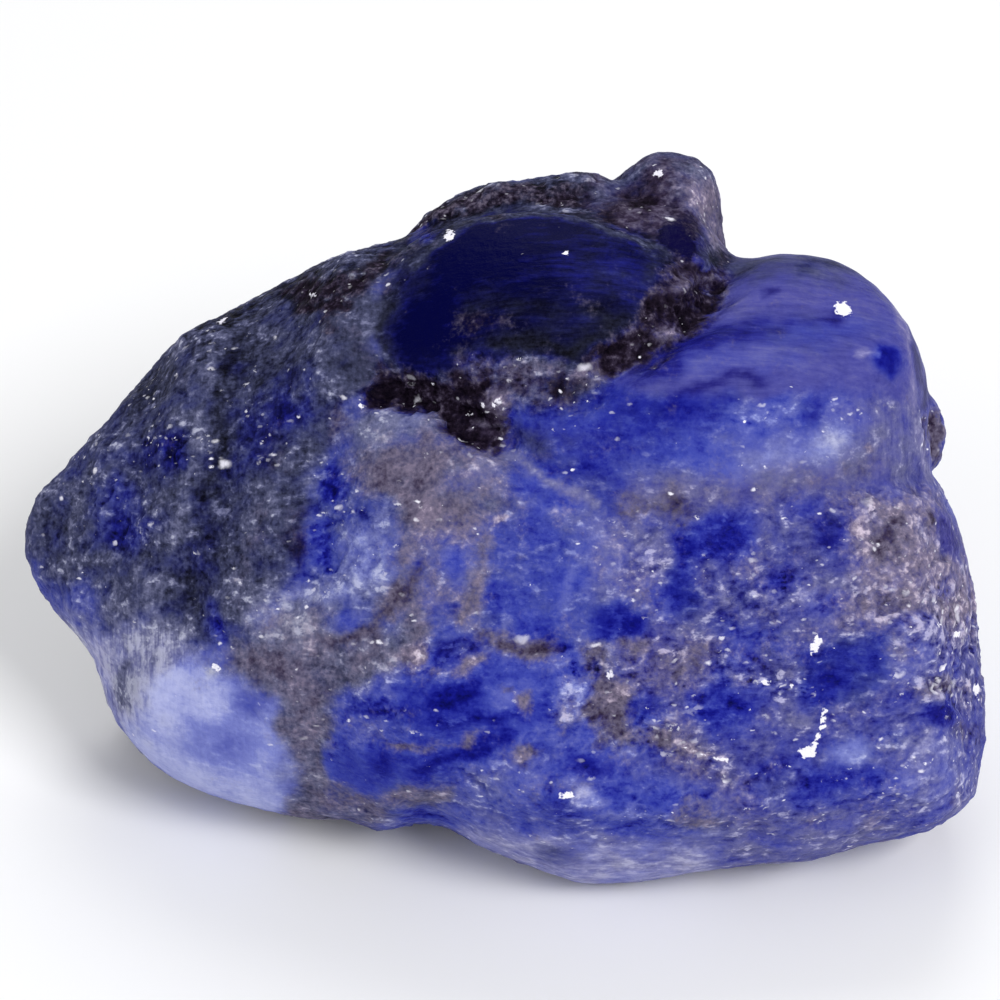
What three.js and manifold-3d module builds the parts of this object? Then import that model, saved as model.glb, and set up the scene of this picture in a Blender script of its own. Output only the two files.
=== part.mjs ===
// Rough tanzanite: one unpolished crystal fragment about 30 mm long, lying on a flat cleavage face.
//
// It is shaped as it is seen from the front: x to the right, y up and z towards the eye, in
// millimetres. Several crystals are grown together in it. Each is shaped by itself, and they are
// joined in one solid, which is then tipped back and cut flat underneath.

import * as THREE from "three";
import { ImprovedNoise } from "three/addons/math/ImprovedNoise.js";
import { mergeVertices } from "three/addons/utils/BufferGeometryUtils.js";
import Module from "manifold-3d";

const wasm = await Module();
wasm.setup();
const noise = new ImprovedNoise();

// Driving dimensions
const STONE_LENGTH = 30; // the fragment's length, left tip to right edge
const DRAWN_LENGTH = 30; // the same length in the drawing below
const TIP_BACK = THREE.MathUtils.degToRad(50); // how far the front leans back from upright
const BASE_LEVEL = -9.9; // height of the resting face, below the middle of the drawing
const EYE_DISTANCE = 87; // from where the outlines are drawn

const TURN = 2 * Math.PI;
const OUTLINE_STEPS = 720; // directions in which an outline's distance is kept
const MEAN_STEPS = 36; // directions that its mean distance is taken from

const clamp = THREE.MathUtils.clamp;
const mix = THREE.MathUtils.lerp;
const smooth = THREE.MathUtils.smoothstep;

// Distance from a crystal's middle to its outline, as a function of the angle
function outlineRadius(points, middle) {
  const bend = new THREE.CatmullRomCurve3(
    points.map(([x, y]) => new THREE.Vector3(x - middle[0], y - middle[1], 0)),
    true,
    "centripetal",
  );
  const traced = bend
    .getPoints(points.length * 16)
    .map((p) => [(Math.atan2(p.y, p.x) + TURN) % TURN, Math.hypot(p.x, p.y)])
    .sort((a, b) => a[0] - b[0]);
  const first = traced[0];
  const last = traced[traced.length - 1];
  const closed = [[last[0] - TURN, last[1]], ...traced, [first[0] + TURN, first[1]]];
  const radii = [];
  for (let i = 0, k = 0; i <= OUTLINE_STEPS; i++) {
    const angle = (i / OUTLINE_STEPS) * TURN;
    while (k < closed.length - 2 && closed[k + 1][0] < angle) k++;
    const [from, to] = [closed[k], closed[k + 1]];
    const share = clamp((angle - from[0]) / Math.max(to[0] - from[0], 1e-6), 0, 1);
    radii.push(mix(from[1], to[1], share));
  }
  return (angle) => {
    const place = (((angle + TURN) % TURN) / TURN) * OUTLINE_STEPS;
    const i = Math.min(Math.floor(place), OUTLINE_STEPS - 1);
    return mix(radii[i], radii[i + 1], place - i);
  };
}

// Layered noise, from -1 to 1
function roughness(p, grain, layers = 3, seed = 0) {
  let sum = 0;
  let weight = 1;
  let total = 0;
  for (let i = 0; i < layers; i++) {
    const f = 2 ** i / grain;
    sum += weight * noise.noise(p.x * f + seed, p.y * f - seed, p.z * f + 7.3 * i);
    total += weight;
    weight *= 0.5;
  }
  return sum / total;
}

// Presses a point back onto a flat face wherever it stands proud of it. The edge is rounded a little.
function cleave(p, { facing, through, edge = 0.35 }) {
  const n = new THREE.Vector3(...facing).normalize();
  const proud = n.dot(p) - n.dot(new THREE.Vector3(...through));
  const cut = edge * Math.log1p(Math.exp(clamp(proud / edge, -30, 30)));
  p.addScaledVector(n, -cut);
}

// Where a point of the drawing lies beside a path: how far away, on which side, and how far along
function beside(path, x, y) {
  let best = { distance: Infinity, side: 0, along: 0 };
  for (let i = 0; i + 1 < path.length; i++) {
    const [ax, ay] = path[i];
    const dx = path[i + 1][0] - ax;
    const dy = path[i + 1][1] - ay;
    const share = clamp(((x - ax) * dx + (y - ay) * dy) / (dx * dx + dy * dy), 0, 1);
    const distance = Math.hypot(x - ax - share * dx, y - ay - share * dy);
    if (distance < best.distance) {
      const side = Math.sign(dx * (y - ay) - dy * (x - ax)) * distance;
      best = { distance, side, along: (i + share) / (path.length - 1) };
    }
  }
  return best;
}

// A channel along a path: 1 in its middle line, 0 beyond its width, fading out at both ends
function channel(path, width, x, y) {
  const { distance, along } = beside(path, x, y);
  const ends = smooth(along, 0, 0.12) * (1 - smooth(along, 0.88, 1));
  return (1 - smooth(distance, 0.15 * width, width)) * mix(0.35, 1, ends);
}

// A step along a path: 1 on the path's left, fading out over a reach, and 0 on its right
function ledge(path, reach, x, y) {
  const { distance, side, along } = beside(path, x, y);
  const ends = smooth(along, 0, 0.15) * (1 - smooth(along, 0.85, 1));
  return smooth(side, -0.5, 0.5) * (1 - smooth(distance, 0.3 * reach, reach)) * ends;
}

// Shapes one crystal: a ball drawn out to the outline, as thick as its front and back say
function crystal(form) {
  const [cx, cy] = form.middle;
  const radius = outlineRadius(form.outline, form.middle);
  const ball = new THREE.IcosahedronGeometry(1, form.fineness);
  ball.deleteAttribute("normal");
  ball.deleteAttribute("uv");
  const geometry = mergeVertices(ball, 1e-4);
  const place = geometry.attributes.position;
  const p = new THREE.Vector3();
  let meanRadius = 0;
  for (let i = 0; i < MEAN_STEPS; i++) meanRadius += radius((i / MEAN_STEPS) * TURN) / MEAN_STEPS;

  for (let i = 0; i < place.count; i++) {
    p.fromBufferAttribute(place, i);
    const angle = Math.atan2(p.y, p.x);
    const share = Math.min(Math.hypot(p.x, p.y), 1);
    const towards = p.z;
    // Small turns of the outline die out inwards, so that they make no spokes.
    const reach = mix(mix(meanRadius, radius(angle), 0.75), radius(angle), smooth(share, 0.5, 1));
    const rise = (1 - share ** form.fullness) ** (1 / form.fullness);
    p.x = cx + share * reach * Math.cos(angle);
    p.y = cy + share * reach * Math.sin(angle);
    p.z = form.depth(p.x, p.y) + (towards > 0 ? form.front : -form.back) * rise;
    for (const face of form.faces ?? []) cleave(p, face);
    place.setXYZ(i, p.x, p.y, p.z);
  }

  if (form.relief) {
    geometry.computeVertexNormals();
    const normal = geometry.attributes.normal;
    const out = new THREE.Vector3();
    for (let i = 0; i < place.count; i++) {
      p.fromBufferAttribute(place, i);
      out.fromBufferAttribute(normal, i);
      p.addScaledVector(out, form.relief(p, out));
      place.setXYZ(i, p.x, p.y, p.z);
    }
  }
  // The outlines are as the eye sees them, so what lies farther back is spread a little.
  for (let i = 0; i < place.count; i++) {
    const spread = (EYE_DISTANCE - place.getZ(i)) / EYE_DISTANCE;
    place.setXYZ(i, place.getX(i) * spread, place.getY(i) * spread, place.getZ(i));
  }
  return solid(geometry);
}

function solid(geometry) {
  return new wasm.Manifold(
    new wasm.Mesh({
      numProp: 3,
      vertProperties: new Float32Array(geometry.attributes.position.array),
      triVerts: new Uint32Array(geometry.index.array),
    }),
  );
}

// The main crystal's surface

// Seams where the crystals meet, and veins between the blue windows of the front
const SEAMS = [
  {
    path: [[-4.4, 3.7], [-3.2, 3.5], [-1.4, 2.8], [-0.2, 2.1], [0.8, 1.7]],
    width: 0.9,
    depth: 0.75,
  },
  {
    path: [[7.2, 7.6], [6.3, 5.9], [5.0, 4.7], [3.2, 3.5], [1.6, 2.8]],
    width: 0.7,
    depth: 0.5,
  },
  {
    path: [[0.0, 1.3], [1.8, 0.5], [3.3, -0.4], [4.6, -0.7], [8.2, -0.1], [12.8, 0.9]],
    width: 0.9,
    depth: 0.3,
  },
  {
    path: [[0.6, -4.4], [2.2, -4.5], [3.0, -5.6], [3.4, -6.9], [5.2, -7.8]],
    width: 0.8,
    depth: 0.28,
  },
  {
    path: [[-4.9, 2.6], [-5.7, 0.4], [-5.4, -1.6], [-6.6, -3.2]],
    width: 1.1,
    depth: 0.35,
  },
  {
    path: [[-3.0, -3.0], [-5.0, -4.6], [-5.9, -6.6], [-5.4, -9.4]],
    width: 1.3,
    depth: 0.25,
  },
];

// Ledges, where the crystal broke along its cleavage. Each stands up on its path's left.
const LEDGES = [
  {
    path: [[2.4, 2.6], [6.0, 3.2], [9.5, 3.4], [13.6, 3.9]],
    reach: 2.4,
    height: 0.45,
  },
  {
    path: [[-1.0, -9.1], [2.5, -9.6], [6.5, -9.9], [11.5, -9.3], [14.0, -8.6]],
    reach: 1.8,
    height: 0.35,
  },
  {
    path: [[8.4, -5.0], [9.7, -4.3], [11.6, -4.2], [13.6, -4.9]],
    reach: 1.5,
    height: 0.3,
  },
  {
    path: [[-3.6, -7.2], [-1.2, -6.9], [1.2, -6.2]],
    reach: 1.1,
    height: 0.25,
  },
  {
    path: [[5.2, -1.6], [7.4, -1.0], [9.8, -1.2], [11.4, -2.2]],
    reach: 1.4,
    height: 0.22,
  },
];

// Growth folds, which run down the left slope like drapery
const FOLDS = [
  {
    path: [[-8.6, 5.8], [-9.1, 4.2], [-9.5, 1.8], [-9.9, 0.1], [-10.8, -2.2], [-11.4, -4.4]],
    width: 1.5,
    height: 0.5,
  },
  {
    path: [[-6.6, 4.4], [-7.1, 1.6], [-7.4, -1.2], [-8.3, -4.0], [-9.6, -6.2]],
    width: 1.6,
    height: 0.2,
  },
  {
    path: [[-11.6, 2.2], [-12.0, 0.4], [-12.5, -2.2], [-12.4, -4.0]],
    width: 1.2,
    height: 0.18,
  },
  {
    path: [[-3.6, 7.4], [-4.6, 5.6], [-5.0, 4.2], [-5.0, 2.8]],
    width: 1.7,
    height: 0.55,
  },
  {
    path: [[-9.8, -4.4], [-11.0, -6.4], [-11.0, -7.6]],
    width: 1.0,
    height: 0.25,
  },
];

// Broken ledges across the faces at the back, like shallow stairs
const STAIRS = { width: 3.4, height: 0.34, upwards: [0.5, 0.85], wander: 0.9 };

function stairs(p, out) {
  const [x, y] = STAIRS.upwards;
  const climb = (x * p.x + y * p.y) / STAIRS.width + STAIRS.wander * roughness(p, 7, 2, 5);
  const tread = climb - Math.floor(climb);
  return STAIRS.height * (tread - smooth(tread, 0.8, 1)) * smooth(-out.z, 0.3, 0.7);
}

// Unevenness all over: wide swells, and small lumps on them
const SWELLS = { height: 0.34, grain: 5.5 };
const LUMPS = { height: 0.2, grain: 1.9 };

function unevenness(p, out) {
  const inside = mix(0.15, 1, smooth(Math.abs(out.z), 0.1, 0.5)); // the outline keeps its own turns
  const flat = mix(1, 0.5, smooth(-out.z, 0.2, 0.6)); // the faces at the back are less uneven
  const swell = SWELLS.height * roughness(p, SWELLS.grain, 2, 3);
  const lump = LUMPS.height * roughness(p, LUMPS.grain, 2, 9);
  return (swell + lump) * inside * flat;
}

function mainRelief(p, out) {
  const facing = smooth(out.z, 0.05, 0.45);
  let height = unevenness(p, out) + stairs(p, out);
  for (const fold of FOLDS) height += fold.height * channel(fold.path, fold.width, p.x, p.y) * facing;
  for (const seam of SEAMS) height -= seam.depth * channel(seam.path, seam.width, p.x, p.y) * facing;
  for (const step of LEDGES) height += step.height * ledge(step.path, step.reach, p.x, p.y) * facing;
  return height;
}

const MAIN = {
  middle: [0.3, -1.2],
  fineness: 19,
  fullness: 2.5,
  front: 6.4,
  back: 8.4,
  depth: (x, y) => -1.8 + 0.12 * x - 0.1 * y,
  outline: [
    [15.2, -6.9], [15.0, -6.0], [14.75, -3.8], [14.4, -1.9], [13.75, 0], [13.2, 0.7], [13.2, 2.0],
    [13.1, 3.1], [12.95, 4.2], [12.3, 5.65], [11.35, 6.75], [10.2, 7.35], [8.7, 7.55], [7.2, 7.4],
    [6.5, 8.3], [5.8, 9.1], [4.4, 9.3], [2.6, 9.4], [0.9, 9.35], [-0.6, 9.1], [-1.9, 8.6],
    [-3.2, 8.0], [-5.3, 7.35], [-7.3, 6.3],
    [-8.9, 5.5], [-9.8, 5.0], [-11.2, 3.5], [-12.7, 1.9], [-13.8, 0.8], [-14.85, 0.25], [-15.0, -1.0],
    [-14.2, -2.65], [-13.4, -3.7], [-12.6, -4.45], [-12.3, -5.3], [-11.9, -6.5], [-11.1, -7.6],
    [-10.3, -8.3], [-9.1, -8.9], [-7.7, -9.35], [-5.9, -9.75], [-4.8, -9.75], [-3.7, -10.05],
    [-2.3, -9.85], [-1.4, -10.1], [-0.6, -10.55], [0.4, -10.95], [1.4, -11.35], [2.5, -11.7],
    [3.8, -11.7], [5.6, -11.45], [7.5, -11.15], [9.4, -11.0], [10.5, -10.7], [11.9, -10.35],
    [13.1, -10.1], [14.0, -9.6], [14.7, -9.0], [14.9, -8.1],
  ],
  faces: [
    { facing: [0.1, -0.1, 0.99], through: [6, -4, 4.3], edge: 0.5 },
    { facing: [0.22, 0.7, 0.68], through: [10, 5.4, 2.5], edge: 0.4 },
    { facing: [-0.52, 0.12, 0.85], through: [-8.5, -1, 1.9], edge: 0.5 },
    { facing: [-0.42, 0.62, 0.66], through: [-6.6, 4.9, 0.9], edge: 0.5 },
    { facing: [-0.3, -0.62, 0.72], through: [-8, -7.2, 2.2], edge: 0.5 },
    { facing: [0.06, -0.78, 0.62], through: [5, -10.6, 2.6], edge: 0.4 },
    { facing: [0.93, 0.05, 0.36], through: [14.3, -4, 1.2], edge: 0.4 },
    { facing: [0.1, 0.42, -0.9], through: [3, 3, -7.0], edge: 0.15 },
    { facing: [-0.6, 0.3, -0.74], through: [-8, 1, -6.6], edge: 0.15 },
    { facing: [0.7, 0.2, -0.68], through: [11, 0, -6.2], edge: 0.15 },
    { facing: [0.3, 0.88, -0.36], through: [6.5, 8.6, -5.2], edge: 0.15 },
    { facing: [-0.35, 0.75, -0.55], through: [-5, 6.4, -5.6], edge: 0.15 },
    { facing: [-0.15, 0.95, -0.15], through: [-2.5, 8.0, -4.4], edge: 0.15 },
    { facing: [0.78, 0.6, -0.2], through: [11.9, 5.6, -3.4], edge: 0.15 },
    { facing: [0.8, -0.1, -0.6], through: [14.1, -4, -3.4], edge: 0.15 },
  ],
  relief: mainRelief,
};

// The smooth dark lens-shaped crystal at the top of the front
const LENS = {
  middle: [1.4, 6.1],
  fineness: 7,
  fullness: 2.1,
  front: 1.45,
  back: 3.4,
  depth: (x, y) => 2.1 - 0.52 * (y - 6.1) + 0.1 * (x - 1.4) - 0.028 * (x - 1.4) ** 2,
  outline: [
    [6.1, 6.5], [5.6, 7.2], [4.5, 7.85], [3.3, 8.4], [2.0, 8.7], [0.6, 8.8], [-0.7, 8.65],
    [-1.9, 8.25], [-3.0, 7.6], [-3.9, 6.7], [-4.3, 5.4], [-3.8, 4.3], [-2.4, 3.6], [0, 3.4],
    [1.9, 3.5], [3.4, 4.0], [4.8, 4.75], [5.7, 5.6],
  ],
  relief: (p) => 0.1 * roughness(p, 3.5, 2, 21),
};

// The dark crusted crest behind it
const CREST = {
  middle: [0.9, 8.7],
  fineness: 5,
  fullness: 2.6,
  front: 1.7,
  back: 5.4,
  depth: (x) => -2.5 + 0.05 * x,
  outline: [
    [4.9, 9.0], [4.2, 9.65], [3.4, 9.85], [2.35, 10.05], [1.0, 9.75], [-0.3, 9.7], [-1.25, 9.35],
    [-2.0, 8.85], [-2.7, 8.3], [-2.6, 7.4], [-0.5, 6.2], [2.5, 5.8], [4.4, 6.8],
  ],
  faces: [
    { facing: [0.05, 0.72, -0.69], through: [1, 9.4, -4.2], edge: 0.15 },
    { facing: [-0.6, 0.75, -0.25], through: [-1.4, 9.2, -3.2], edge: 0.15 },
  ],
  relief: (p) => 0.34 * roughness(p, 1.6, 3, 33),
};

// The rounded knob at the upper right of the crest
const KNOB = {
  middle: [5.3, 8.7],
  fineness: 6,
  fullness: 2.2,
  front: 2.3,
  back: 5.8,
  depth: (x, y) => -2.6 - 0.15 * (y - 8.7),
  outline: [
    [6.95, 8.0], [6.75, 9.2], [6.5, 10.0], [6.0, 10.45], [5.2, 10.65], [4.4, 10.5], [3.5, 9.75],
    [2.8, 8.7], [3.2, 7.0], [4.6, 5.6], [6.2, 5.5], [7.1, 6.7],
  ],
  faces: [
    { facing: [0.85, 0.1, 0.5], through: [6.5, 8.6, -1.2], edge: 0.25 },
    { facing: [-0.45, 0.6, 0.66], through: [4.3, 9.4, -0.9], edge: 0.25 },
    { facing: [0.2, 0.64, -0.74], through: [5.5, 10.4, -2.9], edge: 0.15 },
    { facing: [0.92, 0.1, -0.38], through: [6.9, 8.0, -4.0], edge: 0.15 },
  ],
  relief: (p) => 0.26 * roughness(p, 1.8, 3, 44),
};

// The small brown nub on the right edge
const NUB = {
  middle: [12.9, 2.0],
  fineness: 5,
  fullness: 2.2,
  front: 1.1,
  back: 2.4,
  depth: () => -1.0,
  outline: [
    [13.6, 2.0], [13.5, 2.7], [13.2, 3.1], [12.5, 3.2], [12.1, 2.2], [12.4, 1.0], [13.1, 0.9],
    [13.5, 1.3],
  ],
  relief: (p) => 0.25 * roughness(p, 0.8, 2, 55),
};

// A blocky crystal at the back, which the front doesn't show
const BACK_BLOCK = {
  middle: [-1.5, 1.0],
  fineness: 5,
  fullness: 3.2,
  front: 3,
  back: 4.4,
  depth: (x, y) => -6.0 + 0.06 * x + 0.3 * y,
  outline: [
    [6.4, 1.6], [5.6, 5.0], [1.5, 6.2], [-5.0, 5.4], [-8.2, 2.6], [-7.4, -1.8], [-3.0, -3.6],
    [3.6, -3.2],
  ],
  faces: [
    { facing: [0.16, 0.5, -0.85], through: [-1.5, 1, -9.3], edge: 0.12 },
    { facing: [0.9, 0.25, -0.35], through: [5.4, 1, -7.5], edge: 0.12 },
    { facing: [-0.8, 0.3, -0.5], through: [-7.0, 1, -7.5], edge: 0.12 },
    { facing: [0.05, 0.9, -0.42], through: [-1.5, 5.6, -5.6], edge: 0.12 },
  ],
  relief: (p) => 0.1 * roughness(p, 2.4, 2, 66),
};

// Joins the crystals, tips them back and cuts the solid off flat where it rests
function fragment() {
  let whole = crystal(MAIN);
  for (const form of [LENS, CREST, KNOB, NUB, BACK_BLOCK]) whole = whole.add(crystal(form));
  const tipped = new THREE.Matrix4().makeRotationX(TIP_BACK);
  const reach = 2 * DRAWN_LENGTH;
  const block = new THREE.BoxGeometry(reach, reach, reach);
  block.translate(0, 0, BASE_LEVEL - reach / 2);
  block.deleteAttribute("normal");
  block.deleteAttribute("uv");
  whole = whole.transform(tipped.elements).subtract(solid(mergeVertices(block)));
  // Gaps sealed in between the crystals are bodies of their own, and are left out.
  return whole.decompose().sort((a, b) => b.volume() - a.volume())[0];
}

// The cut solid as a geometry, resting on z = 0 with its middle over the origin
function restingGeometry(stone) {
  const mesh = stone.getMesh();
  const geometry = new THREE.BufferGeometry();
  geometry.setAttribute("position", new THREE.BufferAttribute(mesh.vertProperties, mesh.numProp));
  geometry.setIndex(new THREE.BufferAttribute(mesh.triVerts, 1));
  geometry.computeBoundingBox();
  const { min, max } = geometry.boundingBox;
  geometry.translate(-(min.x + max.x) / 2, -(min.y + max.y) / 2, -min.z);
  const scale = STONE_LENGTH / DRAWN_LENGTH;
  geometry.scale(scale, scale, scale);
  return geometry;
}

const tanzanite = new THREE.MeshStandardMaterial({
  name: "tanzanite",
  color: new THREE.Color(0.17, 0.2, 0.62),
  roughness: 0.45,
  metalness: 0,
  flatShading: true,
});

const stone = new THREE.Mesh(restingGeometry(fragment()), tanzanite);
stone.name = "tanzanite_fragment";

const group = new THREE.Group();
group.add(stone);

export default group;
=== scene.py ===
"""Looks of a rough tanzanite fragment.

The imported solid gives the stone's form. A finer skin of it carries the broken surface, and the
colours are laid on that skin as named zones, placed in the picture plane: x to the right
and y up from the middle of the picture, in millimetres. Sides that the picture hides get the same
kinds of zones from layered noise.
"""

import functools
import itertools
import math

import bpy
import numpy as np
from mathutils import Matrix, Vector


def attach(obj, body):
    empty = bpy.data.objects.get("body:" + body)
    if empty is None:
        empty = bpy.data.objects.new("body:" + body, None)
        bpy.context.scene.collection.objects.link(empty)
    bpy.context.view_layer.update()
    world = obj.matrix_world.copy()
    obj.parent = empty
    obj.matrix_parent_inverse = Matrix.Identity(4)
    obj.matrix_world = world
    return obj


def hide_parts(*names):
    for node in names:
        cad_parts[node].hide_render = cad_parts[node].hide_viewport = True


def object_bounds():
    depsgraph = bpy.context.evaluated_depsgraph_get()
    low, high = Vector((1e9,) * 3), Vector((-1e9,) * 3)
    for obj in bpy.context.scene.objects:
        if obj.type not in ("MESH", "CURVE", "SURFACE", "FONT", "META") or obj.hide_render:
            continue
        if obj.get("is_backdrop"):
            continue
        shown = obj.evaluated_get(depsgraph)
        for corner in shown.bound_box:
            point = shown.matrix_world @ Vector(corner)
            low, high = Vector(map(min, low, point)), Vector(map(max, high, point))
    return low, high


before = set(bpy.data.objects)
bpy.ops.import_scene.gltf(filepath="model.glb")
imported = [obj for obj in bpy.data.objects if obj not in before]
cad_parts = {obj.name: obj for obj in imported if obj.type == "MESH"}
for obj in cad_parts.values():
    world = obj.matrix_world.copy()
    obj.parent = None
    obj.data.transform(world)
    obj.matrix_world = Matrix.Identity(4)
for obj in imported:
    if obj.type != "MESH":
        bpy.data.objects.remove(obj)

NODE = "tanzanite_fragment"
MM = 0.001

# The picture: 1000 by 1000, in which 32 pixels are a millimetre
PICTURE_SIDE = 1000
PIXELS_PER_MM = 32
STONE_LEFT = 25
STONE_RIGHT = 985
STONE_TOP = 152
STONE_BOTTOM = 883
ELEVATION = math.radians(40)
LENS_MM = 100
SENSOR_MM = 36

# The search for the eye's place
FIRST_DISTANCE = 87 * MM
FITTING_ROUNDS = 40
FITTING_PACE = 0.8

# The skin, in mm where no other unit is given
VOXEL = 0.152 * MM
SMOOTHING_ROUNDS = 10
SMOOTHING_STEPS = (0.5, -0.52)  # towards the neighbours and back out, so that the stone keeps its size
BASE_BAND = 0.06  # above the floor, within which the resting face stays flat
RELIEF_STARTS = 0.6  # above the floor, from where the relief has its full height
RELIEF_SHADE_ROUNDS = 3
RELIEF_SHADE_HEIGHT = 0.06  # an edge that stands this far out gets the full painted edge light

# Heights of the relief, in mm
BIG_CHIP = 0.15
SMALL_CHIP = 0.1
LEAST_LUMP = 0.01
LUMP = 0.06
GRAIN = 0.06
CRUST_GRAIN = 0.1
VEIN_DEPTH = 0.08
CRUST_DEPTH = 0.15
SKIN_OVER_SOLID = 0.05

cad_low, cad_high = (np.array(corner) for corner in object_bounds())


# Noise

GRADIENTS = np.random.default_rng(7).normal(size=(256, 3))
GRADIENTS /= np.linalg.norm(GRADIENTS, axis=1)[:, None]
NOISE_GAIN = 1.6  # brings the noise to about -1 to 1

# Large odd numbers that scramble a place into a code of 32 bits
PLACE_CODES = np.array([374761393, 668265263, 1103515245])
SEED_CODE = 974711
MIXING_CODE = 1274126177
CODE_BITS = 0xFFFFFFFF


def smoothstep(low, high, x):
    t = np.clip((x - low) / (high - low), 0, 1)
    return t * t * (3 - 2 * t)


def hashed(place, seed):
    """A whole number for each lattice place."""
    mixed = (place @ PLACE_CODES + seed * SEED_CODE) & CODE_BITS
    mixed = ((mixed ^ (mixed >> 13)) * MIXING_CODE) & CODE_BITS
    return mixed ^ (mixed >> 16)


def lattice_noise(points, grain, seed):
    """Smooth noise from about -1 to 1, with lumps of one grain."""
    scaled = points / grain
    base = np.floor(scaled).astype(np.int64)
    part = scaled - base
    fade = part ** 3 * (part * (part * 6 - 15) + 10)
    total = np.zeros(len(points))
    for corner in itertools.product((0, 1), repeat=3):
        offset = np.array(corner)
        gradient = GRADIENTS[hashed(base + offset, seed) % 256]
        weight = np.prod(np.where(offset == 1, fade, 1 - fade), axis=1)
        total += weight * np.sum(gradient * (part - offset), axis=1)
    return NOISE_GAIN * total


def layered(points, grain, layers, seed):
    """Noise of several grains, each half the last."""
    total = np.zeros(len(points))
    weights = 0.0
    for i in range(layers):
        total += lattice_noise(points, grain / 2 ** i, seed + 17 * i) / 2 ** i
        weights += 1 / 2 ** i
    return total / weights


def chips(points, grain, seed):
    """Tilted flat faces, one for each cell of space, from about -1 to 1."""
    scaled = points / grain
    base = np.floor(scaled).astype(np.int64)
    nearest = np.full(len(points), np.inf)
    height = np.zeros(len(points))
    for corner in itertools.product((-1, 0, 1), repeat=3):
        place = base + np.array(corner)
        code = hashed(place, seed)
        jitter = np.stack([(code >> shift & 255) / 255 for shift in (0, 8, 16)], axis=1)
        offset = scaled - place - jitter
        distance = np.linalg.norm(offset, axis=1)
        tilt = GRADIENTS[hashed(place, seed + 1) % 256]
        closer = distance < nearest
        height = np.where(closer, np.sum(tilt * offset, axis=1), height)
        nearest = np.where(closer, distance, nearest)
    return height


# The camera, at the picture's viewing angle

def camera_axes():
    towards = Vector((0, -math.cos(ELEVATION), math.sin(ELEVATION)))
    right = Vector((1, 0, 0))
    return right, towards.cross(right), towards


def projected(points, eye):
    """The picture's pixel over each point, across and down."""
    right, up, towards = (np.array(axis) for axis in camera_axes())
    away = points - np.array(eye)
    depth = -(away @ towards)
    scale = LENS_MM / SENSOR_MM * PICTURE_SIDE
    middle = PICTURE_SIDE / 2
    return middle + scale * (away @ right) / depth, middle - scale * (away @ up) / depth


def fitted_eye(points):
    """Where the eye stands so that the stone fills the same part of the picture as in the photo."""
    right, up, towards = camera_axes()
    aim = Vector((cad_low + cad_high) / 2)
    distance = FIRST_DISTANCE
    for _ in range(FITTING_ROUNDS):
        across, down = projected(points, aim + towards * distance)
        pixel = distance * SENSOR_MM / LENS_MM / PICTURE_SIDE
        shift_x = (across.max() + across.min()) / 2 - (STONE_LEFT + STONE_RIGHT) / 2
        shift_y = (down.max() + down.min()) / 2 - (STONE_TOP + STONE_BOTTOM) / 2
        aim = aim + right * shift_x * pixel - up * shift_y * pixel
        size = (across.max() - across.min()) / (STONE_RIGHT - STONE_LEFT)
        distance *= 1 + FITTING_PACE * (size - 1)
    return aim + towards * distance


def in_picture(points, eye):
    """Each point's place in the picture plane, in millimetres from its middle."""
    across, down = projected(points, eye)
    middle = PICTURE_SIDE / 2
    return (across - middle) / PIXELS_PER_MM, (middle - down) / PIXELS_PER_MM


def vertices_of(mesh):
    flat = np.empty(3 * len(mesh.vertices))
    mesh.vertices.foreach_get("co", flat)
    return flat.reshape(-1, 3)


eye = fitted_eye(vertices_of(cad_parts[NODE].data))

camera_data = bpy.data.cameras.new("camera")
camera_data.lens = LENS_MM
camera_data.sensor_width = SENSOR_MM
camera_data.clip_start = 1 * MM
camera = bpy.data.objects.new("camera", camera_data)
bpy.context.scene.collection.objects.link(camera)
camera.matrix_world = Matrix.Translation(eye) @ Matrix(camera_axes()).transposed().to_4x4()
bpy.context.scene.camera = camera


# Zones: where the surface is deep or pale, crusted, veined, streaked or speckled, and where highlights, a
# shadow line and the light and shade of folds are painted in.
# Each is a shape in the picture plane and the values that it paints there, over those before it.
#   tone    0 deep navy, 0.25 royal blue, 0.5 mid blue, 0.75 frosted, 1 pale periwinkle
#   violet  how far the blue turns to violet
#   soot    granular grey over the blue
#   vein    brown-grey matrix, and warm, which turns it from dark brown through grey to pinkish tan
#   char    near-black crust
#   streak  fine lines along the stone, and fibre, fine lines down it
#   speck  how many white specks there are: painted sparkles, in place of glints off tiny facets
#   grit    how rough the surface is
#   flash  how densely short bright dashes cover it: painted glints off tiny facets
# Soft is how wide the zone's edge fades, in mm.

def spot(x, y, wide, high, turn=0, soft=0.4, **values):
    """An ellipse by its middle, half width, half height and turn in degrees."""
    cos, sin = math.cos(math.radians(turn)), math.sin(math.radians(turn))

    def weight(u, v):
        along = ((u - x) * cos + (v - y) * sin) / wide
        across = ((v - y) * cos - (u - x) * sin) / high
        inside = (1 - np.hypot(along, across)) * min(wide, high)
        return smoothstep(-soft / 2, soft, inside)

    return weight, values


def line(points, wide, soft=0.3, **values):
    """A band along a path."""
    def weight(u, v):
        return smoothstep(-soft, soft, wide - distance_to(points, u, v, closed=False))

    return weight, values


def area(points, soft=0.4, **values):
    """A closed outline."""
    def weight(u, v):
        inside = np.zeros(len(u), bool)
        for (ax, ay), (bx, by) in zip(points, points[1:] + points[:1]):
            crosses = (ay > v) != (by > v)
            slope = (bx - ax) / (by - ay) if by != ay else 0
            inside ^= crosses & (u < ax + (v - ay) * slope)
        distance = distance_to(points, u, v, closed=True)
        return smoothstep(-soft, soft, np.where(inside, distance, -distance))

    return weight, values


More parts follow.
